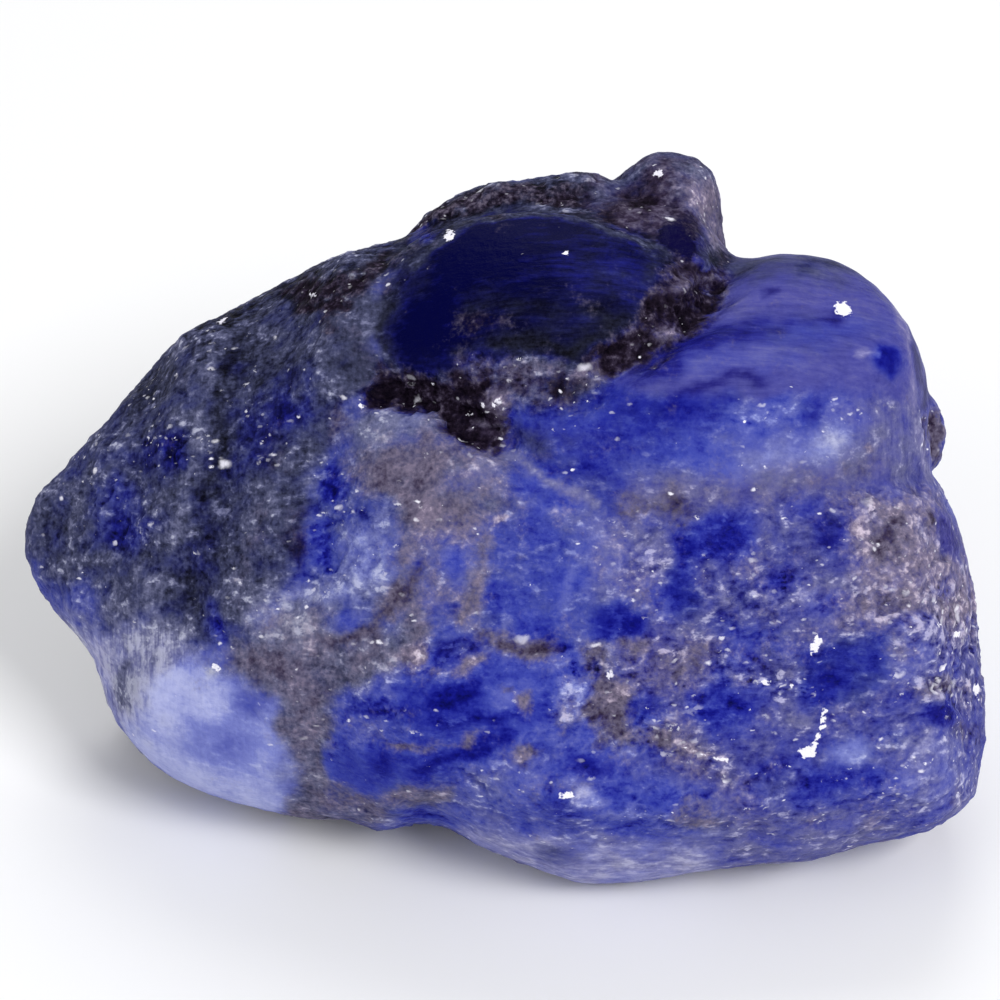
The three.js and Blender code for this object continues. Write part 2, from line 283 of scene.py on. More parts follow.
def distance_to(points, u, v, closed):
    """How far each place is from a path or a closed outline."""
    best = np.full(len(u), np.inf)
    ends = points[1:] + points[:1] if closed else points[1:]
    for (ax, ay), (bx, by) in zip(points, ends):
        dx, dy = bx - ax, by - ay
        share = np.clip(((u - ax) * dx + (v - ay) * dy) / (dx * dx + dy * dy), 0, 1)
        best = np.minimum(best, np.hypot(u - ax - share * dx, v - ay - share * dy))
    return best


# Every layer's value where no zone paints it
UNPAINTED = dict(tone=0.45, violet=0.35, soot=0.1, vein=0.1, warm=0.5, char=0,
                 streak=0, fibre=0, speck=0.3, grit=0.5, flash=0)

LEFT_SLOPE = [
    area([(-15.6, 1), (-8, 8), (-3.4, 9), (-3.8, 5.5), (-4.4, 3.4), (-4.6, 1.2), (-5.8, 0.2),
          (-6.2, -2.2), (-7.4, -3.6), (-9.2, -5), (-10.8, -5), (-12.6, -4.4), (-15.6, -1)], 0.9,
         tone=0.42, soot=0.82, vein=0, warm=0.2, speck=0.12, grit=0.6, violet=0.2, fibre=0.3),
    spot(-12.3, 0.4, 1.4, 2, 15, 1.2, soot=0.45, tone=0.3, speck=0.5),
    spot(-11.4, -1, 0.8, 0.8, 0, 0.6, soot=0.4, tone=0.24),
    spot(-10.2, 1.5, 0.7, 1, -20, 0.6, soot=0.4, tone=0.14),
    spot(-12.9, -3.1, 0.7, 0.9, -10, 0.6, soot=0.2, tone=0.5, violet=0.2, speck=0.1),
    spot(-6.7, 2.9, 1.4, 0.8, 15, 0.8, soot=0.45, tone=0.2, speck=0.4),
    spot(-7.6, 1.6, 1.5, 1.2, 20, 1.2, soot=0.6, tone=0.3, speck=0.8),
    spot(-6.6, 0.4, 1, 1.4, 10, 1, soot=0.8, tone=0.34, violet=0.3),
    spot(-6.2, -1.6, 0.7, 1.1, 10, 0.8, vein=0.5, warm=0.12, tone=0.28),
    spot(-9.7, -2.9, 0.5, 0.7, 15, 0.7, tone=0.08, soot=0.9, char=0.3),
    spot(-8.8, -0.6, 1.4, 1.5, 10, 1.2, tone=0.28, soot=0.75),
    line([(-12.6, 1.4), (-13.2, -0.4), (-13.4, -1.8)], 0.3, 0.7, tone=0.5, soot=0.9),
    spot(-11.2, -3, 1.6, 0.9, -10, 1, tone=0.52, soot=0.9),
    spot(-7.6, 4.5, 1, 0.9, 20, 0.8, tone=0.42, soot=1),
    # Painted shade along a fold's hollow, then painted light along its ridge and along a second ridge that
    # has some matrix in it.
    line([(-7.9, 4.9), (-8.6, 3.7), (-8.7, 2.5), (-8.8, 1.3), (-9.2, 0.2)], 0.2, 0.5, tone=0.22,
         soot=0.95, speck=0.5),
    line([(-8, 5.5), (-9.05, 4.1), (-9.35, 2.8), (-9.5, 1.5), (-9.95, 0.3), (-10.3, -1.2)], 0.14,
         tone=0.6, soot=0.95, speck=0.1),
    line([(-7.1, 1.2), (-7.5, -0.2), (-7.8, -1.7), (-8.1, -3)], 0.3, 0.6, tone=0.52, soot=0.9, vein=0.3,
         warm=0.45),
    spot(-10.1, 1.8, 0.7, 0.7, -30, speck=2.4),
    spot(-8.8, 1.2, 0.5, 0.9, 15, speck=1.6),
    spot(-8, 3.4, 0.3, 0.9, 0, 0.3, speck=1.8),
    spot(-11.7, -0.9, 0.7, 0.4, -20, 0.3, speck=2),
    spot(-11, 3.4, 1.3, 0.6, 40, 0.7, tone=0.3, soot=1, speck=0.9),
    spot(-5, 2.5, 0.35, 0.9, 0, 0.5, vein=0.65, warm=0.25, tone=0.3),
    spot(-8.85, -3.9, 0.35, 0.75, 10, tone=0.3, soot=0.1, speck=0.7),
    spot(-5.9, 0.4, 0.35, 0.6, 10, tone=0.7, soot=0.7, speck=1),
]

RIM_AND_CREST = [
    line([(-13.6, 2), (-10.8, 4.6), (-9, 5.8), (-7, 6.9), (-4.4, 7.9), (-3, 8.3)], 0.25, 0.5, tone=0.5,
         soot=1, grit=1),
    area([(-9.9, 5.2), (-7.4, 6.3), (-7, 6), (-9.2, 4.4)], tone=0.3, soot=1, grit=1, speck=0.3),
    area([(-7, 6.5), (-5.2, 7.2), (-2.8, 8.1), (-2.8, 7.8), (-4.2, 6.5), (-4.8, 5.8), (-6.4, 6)], 0.5,
         char=0.85, tone=0.15, soot=1, grit=1, speck=0.3),
    spot(-5.3, 5.4, 0.5, 0.45, 30, char=0.75),
    # Painted shadow: a thin black line under the dark crest.
    line([(-6.4, 6), (-5.4, 5.9), (-4.6, 5.95)], 0.12, 0.2, char=1),
    area([(-2.9, 8.2), (-1.2, 8.75), (0.5, 9), (2.4, 9), (3.2, 9.3), (3.4, 11), (-2, 11), (-3.6, 8.9)],
         0.25, tone=0.2, soot=1, char=0.8, grit=1, vein=0, speck=0.4),
    line([(-2.6, 8.8), (-1.4, 9.6), (0, 10), (1.6, 10), (3.2, 10.1)], 0.16, char=0.1, tone=0.55, soot=1),
    # Painted highlight: a whitish blob on the lens's upper rim.
    spot(-1.2, 8.85, 0.3, 0.12, 15, 0.2, char=0, tone=0.95, soot=0.9),
]

KNOB = [
    area([(2.2, 9.1), (3.6, 8.8), (4.6, 8.2), (5.4, 7.6), (7.9, 7.2), (8, 11), (4, 11.4), (2.6, 10)], 0.2,
         soot=0.6, vein=0.65, warm=0.18, char=0.35, grit=0.5, tone=0.22, violet=1, speck=0.15),
    area([(2.2, 9), (3.4, 9.5), (4.8, 9.6), (5.1, 8.7), (4.6, 8.2), (3.8, 8.5)], char=0.75, vein=0.8,
         warm=0.1),
    line([(3, 9.6), (4.2, 10.3), (5, 10.75), (5.9, 10.7), (6.6, 10.1)], 0.3, 0.4, tone=0.46, soot=0.8,
         vein=0.2, char=0, warm=0.4),
    spot(5, 10, 0.8, 0.5, 20, 0.5, warm=0.2, vein=0.8),
    spot(5.2, 9, 0.5, 0.45, 30, vein=0.8, warm=0.34, char=0, speck=0.4),
    area([(5.9, 10.2), (6.7, 10), (7.1, 9), (7.1, 7.8), (6.4, 7.6), (6.2, 8.8), (5.8, 9.4)], 0.35,
         vein=0.65, warm=0.58, soot=0.4, tone=0.62, violet=1, char=0, speck=0.4),
    spot(6.35, 9.5, 0.45, 0.3, 0, 0.3, speck=1.6, warm=0.7),
    spot(6.3, 8.1, 0.3, 0.5, 0, 0.3, tone=0.4, soot=0.5, vein=0.2, warm=0.4),
    spot(4.3, 8.75, 0.6, 0.22, -20, 0.25, vein=0.9, warm=0.42, char=0.1, speck=0.5),
    spot(5.55, 8.15, 0.8, 1.1, 8, tone=0, violet=0.6, char=0.3),
    spot(5.55, 8.15, 0.55, 0.85, 8, 0.3, tone=-0.25, soot=-0.1, vein=-0.3, char=0.2, speck=0, grit=0.1),
    spot(3.92, 8.35, 0.18, 0.14, 0, 0.12, vein=1, warm=0.95, char=0),
    spot(5.35, 7.72, 0.18, 0.1, -30, 0.12, vein=1, warm=0.9, char=0),
]

LENS_OUTLINE = [
    (-3.4, 5.3), (-3.25, 6.2), (-2.5, 7.4), (-1.7, 8.2), (-0.6, 8.75), (1.4, 8.8), (2.7, 8.6), (3.8, 8.1),
    (5.0, 7.6), (5.2, 6.8), (4.6, 5.9), (3.6, 4.8), (2.2, 4.2), (0.4, 4.4), (-1.2, 4.1), (-3.1, 4.1),
]

LENS = [
    line(LENS_OUTLINE + LENS_OUTLINE[:1], 0.4, tone=0.18, soot=1, vein=0, violet=0.4, speck=0),
    area(LENS_OUTLINE, 0.25, tone=-0.06, soot=0, vein=0, char=0, streak=0.9, speck=0, grit=0.03, violet=0,
         fibre=0),
    spot(3.2, 6.9, 2.6, 1.6, -20, 1.3, tone=0.1, soot=0.4, streak=1.2),
    line([(4.9, 7.4), (4.7, 6.4), (4, 5.4), (2.6, 4.6)], 0.25, 0.4, tone=0.2, soot=0.9),
    spot(-2.6, 6.9, 0.8, 1.2, -35, 0.8, tone=0.1, soot=0.5),
    line([(-3.2, 6), (-3.3, 5), (-3.1, 4.4)], 0.2, 0.5, tone=0.14, soot=0.7),
    line([(-0.6, 6), (1.6, 5.9), (3.8, 5.6)], 0.5, 0.7, tone=0.08, soot=0.75, streak=1),
    spot(1.6, 5.1, 2.6, 0.7, 4, 0.7, tone=0.14, soot=0.75, streak=1),
    spot(-0.6, 5.4, 0.6, 0.45, 15, 0.5, char=0.55, vein=0.4, warm=0.1),
    spot(-2.2, 5, 0.9, 0.7, 0, 0.5, tone=-0.05, soot=0),
    line([(-3.1, 4.35), (-1.4, 4.45)], 0.16, 0.25, tone=0.05, soot=0.3),
    line([(-1.2, 4.6), (0.4, 4.75), (2.2, 4.65), (3.4, 5)], 0.22, 0.4, tone=0.1, soot=1),
    line([(2.4, 7.2), (3.6, 7.1), (4.5, 6.7)], 0.25, 0.6, tone=0.2, soot=0.6),
    spot(3, 8.1, 0.9, 0.35, -15, 0.5, tone=0.16, soot=0.7),
    # Painted highlights: thin pale lines along the lens's upper rim.
    line([(-2.7, 7.3), (-2, 8), (-1, 8.65), (0.2, 8.9), (1.4, 8.95)], 0.1, 0.2, tone=0.42, soot=0.9),
    line([(1.4, 8.95), (2.66, 8.75), (3.76, 8.25), (4.96, 7.8), (5.7, 7.25)], 0.08, 0.16, tone=0.42,
         soot=0.95),
]

BAND_LEFT_OF_LENS = [
    area([(-3, 8.2), (-4, 6.6), (-5, 5.4), (-5.4, 4.2), (-4.6, 3.2), (-3.8, 3.9), (-3.3, 4.1),
          (-3.4, 5.4), (-3.3, 6.4), (-2.2, 7.9)], tone=0.38, soot=0.95, violet=0.3, char=0.1, speck=0.1,
         grit=0.35, vein=0.05),
    spot(-3.7, 4.7, 0.7, 0.9, 0, 0.6, soot=0.5, tone=0.46, violet=0.3),
    spot(-3.5, 6.7, 0.6, 0.4, 40, soot=0.6, tone=0.55),
    spot(-4.6, 5.3, 0.6, 0.6, 20, 0.6, vein=0.4, warm=0.35),
]

GROOVE = [
    area([(-1.2, 4.4), (0.4, 4.35), (2.2, 4.1), (3.4, 3.9), (3, 3.1), (1.6, 2.8), (0.2, 3), (-0.8, 3.6)],
         0.5, vein=0.55, warm=0.34, char=0.3, grit=0.9, speck=0.8, tone=0.4, soot=0.7, streak=0),
    area([(-4.3, 3.4), (-3.8, 4), (-2.5, 4), (-1, 3.9), (-0.3, 3.6), (0.3, 3), (0.2, 2.2), (-0.1, 1.6),
          (-1, 1.6), (-1.6, 2.2), (-2.2, 2.7), (-3.2, 2.9), (-4.1, 2.9)], 0.45, char=0.95, vein=0.8,
         warm=0.08, tone=0.1, soot=0.5, grit=0.8, speck=0.2, streak=0),
    spot(-2.2, 3.2, 1.4, 0.4, -10, char=1, soot=0.9),
    spot(-0.3, 2.3, 0.5, 0.4, 20, char=0.25, warm=0.34),
    spot(-0.5, 4.1, 0.5, 0.3, warm=0.45, char=0.3, speck=1),
    spot(0, 3, 0.6, 0.4, warm=0.62, vein=0.8, char=0.1, speck=1.2),
    spot(2, 3.5, 0.7, 0.3, 0, 0.3, char=0.85, vein=0.5, warm=0.1),
    spot(1, 4, 0.8, 0.25, 5, 0.3, warm=0.5, vein=0.6, char=0.1),
    spot(2.7, 3.9, 0.5, 0.3, 20, 0.3, warm=0.62, vein=0.8, char=0.1),
    area([(5.4, 7.4), (6.9, 7.3), (7.2, 7), (6.9, 6.2), (6.2, 5.4), (5.4, 4.8), (4.6, 4.2), (3.4, 3.7),
          (2.9, 4.5), (3.8, 5.1), (4.3, 5.6), (4.5, 6.3), (4.9, 6.8)], char=0.8, vein=0.8, warm=0.15,
         grit=0.9, speck=0.2, soot=0.4, tone=0.15, streak=0),
    spot(4.6, 6, 0.4, 0.5, -20, char=1),
    spot(3.6, 4.6, 0.5, 0.3, 20, 0.3, char=1),
    spot(5.4, 6.7, 0.6, 0.3, 20, warm=0.42, char=0.35),
    spot(5.6, 5.9, 0.5, 0.4, char=1),
    spot(5.2, 5.2, 0.45, 0.3, 20, 0.3, warm=0.6, char=0.1),
    spot(6.3, 6.8, 0.6, 0.3, warm=0.4, char=0.4),
    spot(6.7, 7.5, 0.6, 0.35, -10, tone=0.2, soot=0.9, violet=0.8, vein=0.2),
    line([(7, 7), (7.8, 7.15)], 0.12, vein=0.6, warm=0.25, char=0.3),
]

SHOULDER = [
    area([(3.6, 3.5), (4.9, 4.7), (6.3, 5.7), (7, 6.8), (7.4, 8.2), (11, 8.4), (13.6, 5), (13.8, 2.8),
          (11.5, 3.3), (8, 3)], 0.35, tone=0.47, violet=0.7, soot=0.1, vein=0, char=0, streak=1, speck=0,
         grit=0.05, fibre=0),
    area([(7, 7), (7.3, 8.4), (11, 8.4), (12.6, 6.2), (11.4, 6.6), (9.5, 6.8)], 0.6, tone=0.44, soot=0.6),
    spot(7.6, 7, 0.8, 0.35, 10, 0.5, tone=0.3, soot=0.8),
    spot(9.6, 5.2, 2.6, 0.5, 3, 0.6, tone=0.38, violet=0.3),
    spot(9.2, 6.3, 1.6, 0.35, 8, 0.5, tone=0.52, violet=0.8),
    area([(4.4, 4.5), (6.3, 5.4), (8.3, 5.8), (9, 5.4), (7.4, 4.8), (5.3, 3.9), (4.2, 3.8)], tone=0.23,
         violet=0.4, soot=0.2),
    line([(6.2, 4.2), (7.4, 4.25), (9.2, 4.3)], 0.3, 0.4, tone=0.54, violet=0.5),
    line([(5.4, 3.3), (6.4, 3.5), (7.2, 3.65), (8.2, 3.7)], 0.12, 0.2, tone=0.2),
    line([(9.4, 7.2), (10, 7.3), (10.9, 7.2)], 0.12, 0.2, tone=0.2, violet=0.3),
    line([(8.1, 6.35), (8.6, 6.4)], 0.06, 0.12, tone=0.2),
    spot(12, 4.3, 0.5, 0.5, -10, 0.3, tone=0.17, violet=0, soot=0, streak=0.2),
    line([(11.2, 4.5), (11.7, 4.52)], 0.08, 0.15, tone=0.9, soot=0),
    # Painted shade beside the shoulder's glint.
    spot(10.5, 5.75, 0.35, 0.3, 0, 0.3, tone=0.2),
    line([(12.3, 6.2), (12.7, 4.9), (12.8, 3.4), (13.2, 2.2), (13.3, 0.8)], 0.1, 0.2, tone=0.78,
         violet=0.9, fibre=0.4),
    line([(12.6, 6.2), (13.1, 4.6), (13.3, 3)], 0.14, 0.2, tone=0.32, violet=0.9, soot=0.5),
]

BELOW_THE_SHOULDER = [
    area([(0.2, 3.4), (3.6, 3.6), (8, 3.1), (12.8, 3.2), (13.6, 0.8), (12, 0.4), (9, 0.2), (6, 0.2),
          (3.4, -0.2), (0.6, 1.2)], 0.5, tone=0.4, violet=0.15, soot=0.08, vein=0.05, speck=0.1,
         grit=0.32, streak=0.3),
    spot(1.5, 2.9, 1.2, 0.6, 0, 0.5, tone=0.42, soot=0.35, speck=0.9),
    area([(3, 3.5), (5.2, 3.5), (7.6, 3.3), (7.2, 2.6), (5.6, 2.2), (3.2, 2.3)], 0.5, tone=0.25,
         violet=0.1, soot=0.12, speck=0.1, grit=0.15),
    spot(2.9, 0.8, 0.7, 0.45, -25, tone=0.16, violet=0),
    spot(2.9, 1.6, 1.9, 0.9, 0, 0.8, tone=0.29, soot=0.18, violet=0.25),
    spot(0.9, 1.7, 0.8, 0.8, 0, 0.6, tone=0.36, soot=0.6, violet=0.5),
    spot(3, 0.1, 1.6, 0.7, -5, 0.6, tone=0.34, violet=0.4, soot=0.25),
    spot(8.2, 2.8, 1.2, 0.7, 15, 0.6, tone=0.6, violet=0, speck=1.6, flash=0.3, grit=0.45),
    spot(10.9, 2.7, 0.9, 0.5, 0, 0.6, tone=0.58, speck=1.4, violet=0.5, grit=0.45),
    spot(9.75, 2.6, 0.5, 0.5, -15, tone=0.22, speck=0.3, grit=0.2),
    spot(8.6, 1.2, 2.6, 1, 10, 1, tone=0.72, violet=0.3, soot=0.25, speck=0.4, grit=0.2),
    spot(10.4, 1.7, 0.9, 0.6, 15, 0.6, tone=0.86, violet=0.2, soot=0.4, speck=0.8, grit=0.35),
    spot(6.4, 1.3, 1, 0.5, 20, 0.6, tone=0.56, violet=0),
    area([(11.2, 3.3), (13.5, 3.2), (13.6, 0.2), (11.4, 0.4)], 0.6, tone=0.6, violet=0.7, soot=0.4,
         fibre=0.5),
    spot(11.6, 1.6, 0.2, 0.2, 0, 0.2, vein=1, warm=0.95),
    line([(4.4, -0.1), (5.6, 0), (7.6, 0.1), (9.6, 0.6), (11.6, 0.9)], 0.45, 0.6, tone=0.62, violet=0.9,
         soot=0.4, vein=0.35, warm=0.52),
    line([(3.5, -0.3), (4.4, -0.45), (5.4, -0.2)], 0.28, 0.5, vein=0.75, warm=0.26, char=0.35),
    spot(13.65, 2, 0.3, 1.1, 0, 0.2, vein=0.9, warm=0.35, char=0.2, grit=0.9),
]

CENTRE = [
    area([(-4.6, 2.9), (-1.2, 2.2), (0.6, 1.6), (3.4, -0.2), (4.4, -1), (4.2, -4.2), (0.6, -4.6),
          (-2.4, -4.8), (-5.8, -3.6), (-5.8, 0.2)], 0.6, tone=0.45, violet=0.15, soot=0.15, vein=0.15,
         warm=0.6, char=0, speck=0.1, grit=0.4, fibre=0, streak=0.3),
    area([(-4.2, 3), (-3.4, 2.8), (-1.9, 2.6), (-1.6, 1.9), (-3, 2), (-4.4, 1.6), (-4.8, 2.4)], 0.5,
         tone=0.63, violet=0.3, soot=0.7, vein=0.1),
    spot(-3.6, 1.9, 0.5, 0.3, 10, 0.35, tone=0.92, soot=0.8, vein=0.3, warm=0.9),
    area([(-4.2, 1.6), (-2.6, 2), (-1, 1.6), (0.2, 1.2), (0, 0), (-1, -0.8), (-2.2, -1.4), (-2.8, -3.2),
          (-4, -3.6), (-3.2, -1.6), (-3.4, -0.4), (-4.6, 0.4)], 0.7, vein=0.8, warm=0.48, soot=0.8,
         tone=0.6, speck=0.2, grit=0.4),
    spot(-0.9, 0.7, 1, 0.7, 20, 0.9, vein=0.35, warm=0.66, tone=0.66, violet=0.8, soot=0.4),
    spot(-2.1, -0.9, 0.7, 0.6, 20, 0.6, warm=0.7),
    spot(-3.6, 0.2, 0.4, 0.7, 0, 0.5, warm=0.42),
    spot(-0.1, -0.5, 0.26, 0.16, 20, 0.2, vein=1, warm=1.05),
    spot(1.7, -0.6, 0.6, 0.3, 10, vein=0.5, warm=0.9, tone=0.75, soot=0.4),
    spot(0.8, -0.9, 0.9, 0.45, 5, 0.5, tone=0.34, vein=0),
    spot(1.9, -1.6, 1.3, 0.9, 0, 0.7, tone=0.42, violet=0, vein=0),
    spot(1.2, -2.9, 1.9, 1.2, 5, 0.8, tone=0.43, violet=0, vein=0),
    spot(-0.1, -3.1, 0.7, 0.7, 0, 0.5, tone=0.3, vein=0),
    area([(-2.6, -0.9), (-1, -0.8), (-0.8, -2.6), (-1.2, -3.4), (-2.4, -3.8), (-2.9, -2.6)], 0.5,
         tone=0.56, violet=0.4, vein=0.5, warm=0.64, soot=0.3),
    spot(-1.45, -2.2, 0.4, 0.6, tone=0.4, violet=0.1, vein=0, soot=0),
    spot(-1.5, -3.4, 0.35, 0.3, 0, 0.3, tone=0.15, vein=0),
    line([(0.1, 1.4), (0.7, 1), (1.8, 0.4), (2.9, -0.1)], 0.12, 0.2, tone=0.88, violet=0.8, vein=0.1,
         soot=0.6, grit=0.3),
    line([(-0.45, -1.3), (-0.5, -2.2), (-0.9, -2.9), (-1.3, -3.7)], 0.28, 0.35, vein=0.8, warm=0.55,
         soot=0.4, tone=0.6),
    line([(2.5, -2.1), (2.2, -2.8), (1.9, -3.4)], 0.1, 0.25, tone=0.75, soot=0.2),
    line([(0.25, -3.1), (0.2, -3.9)], 0.06, 0.2, tone=0.7),
    area([(2.7, -0.5), (4.9, -0.4), (5, -2.2), (4.2, -3.6), (3.2, -3.2), (2.7, -1.8)], 0.8, tone=0.62,
         violet=0.5, soot=0.25, vein=0.3, warm=0.7, speck=0.5),
]

LEFT_OF_CENTRE = [
    area([(-6, 1.2), (-4.6, 0.8), (-3.5, 0), (-3.2, -2.2), (-4.2, -3.4), (-6, -3.2), (-5.9, -1.2)], 0.5,
         tone=0.48, violet=0.05, soot=0.45, vein=0.05, speck=0.6, grit=0.55),
    spot(-5.2, 0.5, 0.6, 0.6, 10, tone=0.16, soot=0.05, speck=0.2),
    spot(-5.5, -1.4, 0.4, 1, 5, tone=0.27, soot=0.05, speck=0.2),
    spot(-4.1, -1.6, 1.1, 1.6, 20, 0.8, tone=0.78, speck=0.7, soot=0.4),
    spot(-4.3, -0.4, 0.5, 0.5, tone=0.4, speck=0.9),
    area([(-7.6, -2.9), (-6, -3), (-4, -3.6), (-3.6, -4.4), (-5.6, -4.8), (-8, -4.4)], 0.6, tone=0.72,
         soot=0.85, vein=0.35, warm=0.56, speck=0.2, grit=0.5, violet=0.2),
    spot(-4.7, -3.7, 0.7, 0.3, 10, tone=0.42, soot=0.1, vein=0),
    line([(-7.4, -3.6), (-6.5, -3.1), (-5.5, -2.8), (-4.6, -2.7)], 0.2, 0.45, tone=0.85, speck=1.6,
         soot=0.4),
    area([(-8.4, -4.2), (-6.4, -4.4), (-4.6, -4.6), (-3.2, -4.2), (-2.6, -3), (-2.4, -4.2), (-3.2, -5.4),
          (-3.4, -6), (-4, -7.2), (-5.2, -7.6), (-6.4, -7.2), (-7.4, -6.4), (-8.6, -5.4)], 0.5, vein=0.55,
         warm=0.47, soot=0.95, tone=0.6, speck=0.25, grit=0.5),
    spot(-7, -5, 0.7, 0.5, 10, 0.6, warm=0.38, vein=0.9),
    spot(-5.4, -5.4, 1, 0.7, 0, 0.6, vein=0.5, warm=0.5, tone=0.6),
    line([(-5.2, -4.4), (-4, -4), (-3.2, -3.1), (-2.5, -2.2)], 0.18, 0.35, vein=0.9, warm=0.32),
]

LOWER_LEFT = [
    area([(-12.4, -4.6), (-10.6, -5), (-9, -4.9), (-8, -5.8), (-7, -6.6), (-6.3, -7.6), (-6.2, -9.2),
          (-6.4, -10.6), (-11, -9.6), (-13.4, -6.6)], 0.8, tone=0.93, violet=0, soot=0, vein=0,
         speck=0.05, grit=0.12, fibre=0.1, streak=0.3),
    spot(-8.5, -7.6, 1.4, 0.9, -10, 0.9, tone=0.7),
    spot(-7.8, -6.4, 0.7, 0.5, -20, 0.5, tone=0.56, violet=0.1),
    spot(-11.1, -6.2, 1.3, 1.2, -15, 0.8, tone=0.96, soot=0.2, speck=0.8),
    spot(-6.8, -8.4, 0.5, 1.2, 0, 0.6, tone=0.74, soot=0.35),
    area([(-13.6, -3.4), (-12.6, -4), (-11, -3.6), (-9.8, -4), (-9.6, -5), (-10.9, -5.6), (-11.6, -7.2),
          (-12.6, -7.4), (-13.6, -5)], 0.6, tone=0.84, violet=0.5, soot=0.65, fibre=0.8, grit=0.4,
         speck=0.05),
    line([(-12.6, -4.4), (-12.3, -5.6), (-11.9, -6.6), (-11.1, -7.6)], 0.2, 0.5, tone=0.92, soot=0.3),
    line([(-11.7, -5.2), (-11.9, -6), (-11.8, -6.5)], 0.08, tone=0.5, soot=1),
    # Painted highlight: a pale spot round the glint here.
    spot(-8.9, -5.25, 0.3, 0.22, 0, 0.25, tone=1.05, soot=1, speck=0.7, vein=0),
    area([(-6.6, -6.2), (-5.6, -7), (-4, -7), (-3.9, -7.5), (-5, -8), (-5.2, -10.2), (-6.9, -10.4),
          (-6.3, -8.4), (-7, -7)], vein=0.6, warm=0.49, soot=0.95, tone=0.62, grit=0.5, speck=0.25),
    spot(-6.2, -8.5, 0.3, 0.5, warm=0.3),
    line([(-5.6, -9.85), (-4, -9.9)], 0.1, 0.15, warm=1, vein=1, speck=1),
]

LOWER_FRONT = [
    area([(-5.3, -6.2), (-3.2, -5), (0.6, -4.6), (3, -4.2), (4, -8), (3, -10.6), (-1.8, -10.4),
          (-5.4, -9.6)], tone=0.48, violet=0.25, soot=0.1, vein=0.15, warm=0.5, speck=0.15, grit=0.5,
         fibre=0, streak=0.4),
    spot(-2.65, -4.8, 0.45, 0.45, 20, vein=0.9, warm=0.8, flash=1, grit=1),
    spot(-1.5, -4.7, 0.8, 0.4, 12, 0.35, tone=0.12, vein=0),
    line([(-2.1, -5.35), (-1.3, -5.3), (-0.6, -5)], 0.12, 0.25, vein=0.85, warm=0.7),
    line([(-0.7, -4.2), (0.2, -4.4), (1.2, -4.6)], 0.3, vein=0.85, warm=0.36, char=0.2),
    area([(-3.2, -5.4), (-1.6, -5.6), (0.4, -5.2), (1.8, -5.2), (1.9, -7), (0.4, -7.2), (-1.4, -8),
          (-2.6, -7.8)], 0.35, tone=0.34, violet=0, vein=0, soot=0, grit=0.3),
    spot(0.4, -6, 1.1, 0.7, 10, 0.6, tone=0.56, violet=0.1),
    spot(-1.4, -6.2, 1.2, 0.7, 10, 0.6, tone=0.24),
    spot(-2.7, -6.2, 0.35, 0.9, 10, tone=0.38),
    line([(-1.6, -7), (-0.4, -6.9), (0.6, -6.8)], 0.1, 0.25, tone=0.1),
    spot(0.8, -6.4, 0.3, 0.55, 10, 0.25, vein=0.95, warm=0.6),
    spot(0.3, -5.8, 0.3, 0.15, -10, 0.2, vein=0.9, warm=0.3),
    area([(-4.9, -6.75), (-4.2, -6.2), (-3.4, -6), (-3.3, -6.9), (-4.2, -6.8)], 0.25, tone=0.2, vein=0),
    line([(-3.4, -7.7), (-2.2, -7.9), (-1.2, -7.5), (-0.4, -7.3)], 0.12, 0.25, tone=0.5, vein=0.6,
         warm=0.55),
    area([(-5.3, -7.8), (-3.6, -7.7), (-2.4, -8.3), (-2.6, -8.9), (-4.2, -9.4), (-5.2, -9.2)], 0.35,
         tone=0.36, violet=0, vein=0, soot=0.1, speck=0.15, grit=0.2),
    spot(-3.7, -8.3, 0.5, 0.4, 5, 0.3, tone=0.2),
    line([(-2.3, -8.5), (-0.8, -7.9), (0.2, -7.5)], 0.25, tone=0.17, vein=0, violet=0, grit=0.2),
    spot(1.6, -7.5, 1.1, 0.5, 10, 0.5, tone=0.52, violet=0.2),
    spot(-2.9, -7.85, 0.4, 0.16, -10, 0.2, vein=0.95, warm=0.6),
    spot(-1, -7.6, 0.3, 0.2, 25, 0.2, vein=0.9, warm=0.55),
    spot(0.95, -8, 0.5, 0.35, 10, 0.3, vein=0.95),
    area([(-5.5, -8.9), (-4.2, -9.2), (-2.8, -8.7), (-1.2, -8.8), (-1.4, -9.4), (-2.8, -9.5), (-4, -10.3),
          (-5.8, -10.3)], 0.35, vein=0.6, warm=0.5, soot=0.6, tone=0.56),
    spot(-2.8, -9.7, 0.8, 0.3, 0, 0.3, tone=0.35, vein=0),
    spot(2.8, -8.3, 0.95, 0.45, -5, tone=0.22, vein=0, soot=0, grit=0.3),
    spot(1.9, -9.6, 0.8, 0.5, -10, 0.5, tone=0.24, vein=0),
    spot(2.6, -9.3, 0.8, 0.4, -20, tone=0.85, vein=0),
    spot(0.2, -9, 0.9, 0.4, 0, 0.5, tone=0.6, soot=0.3),
]

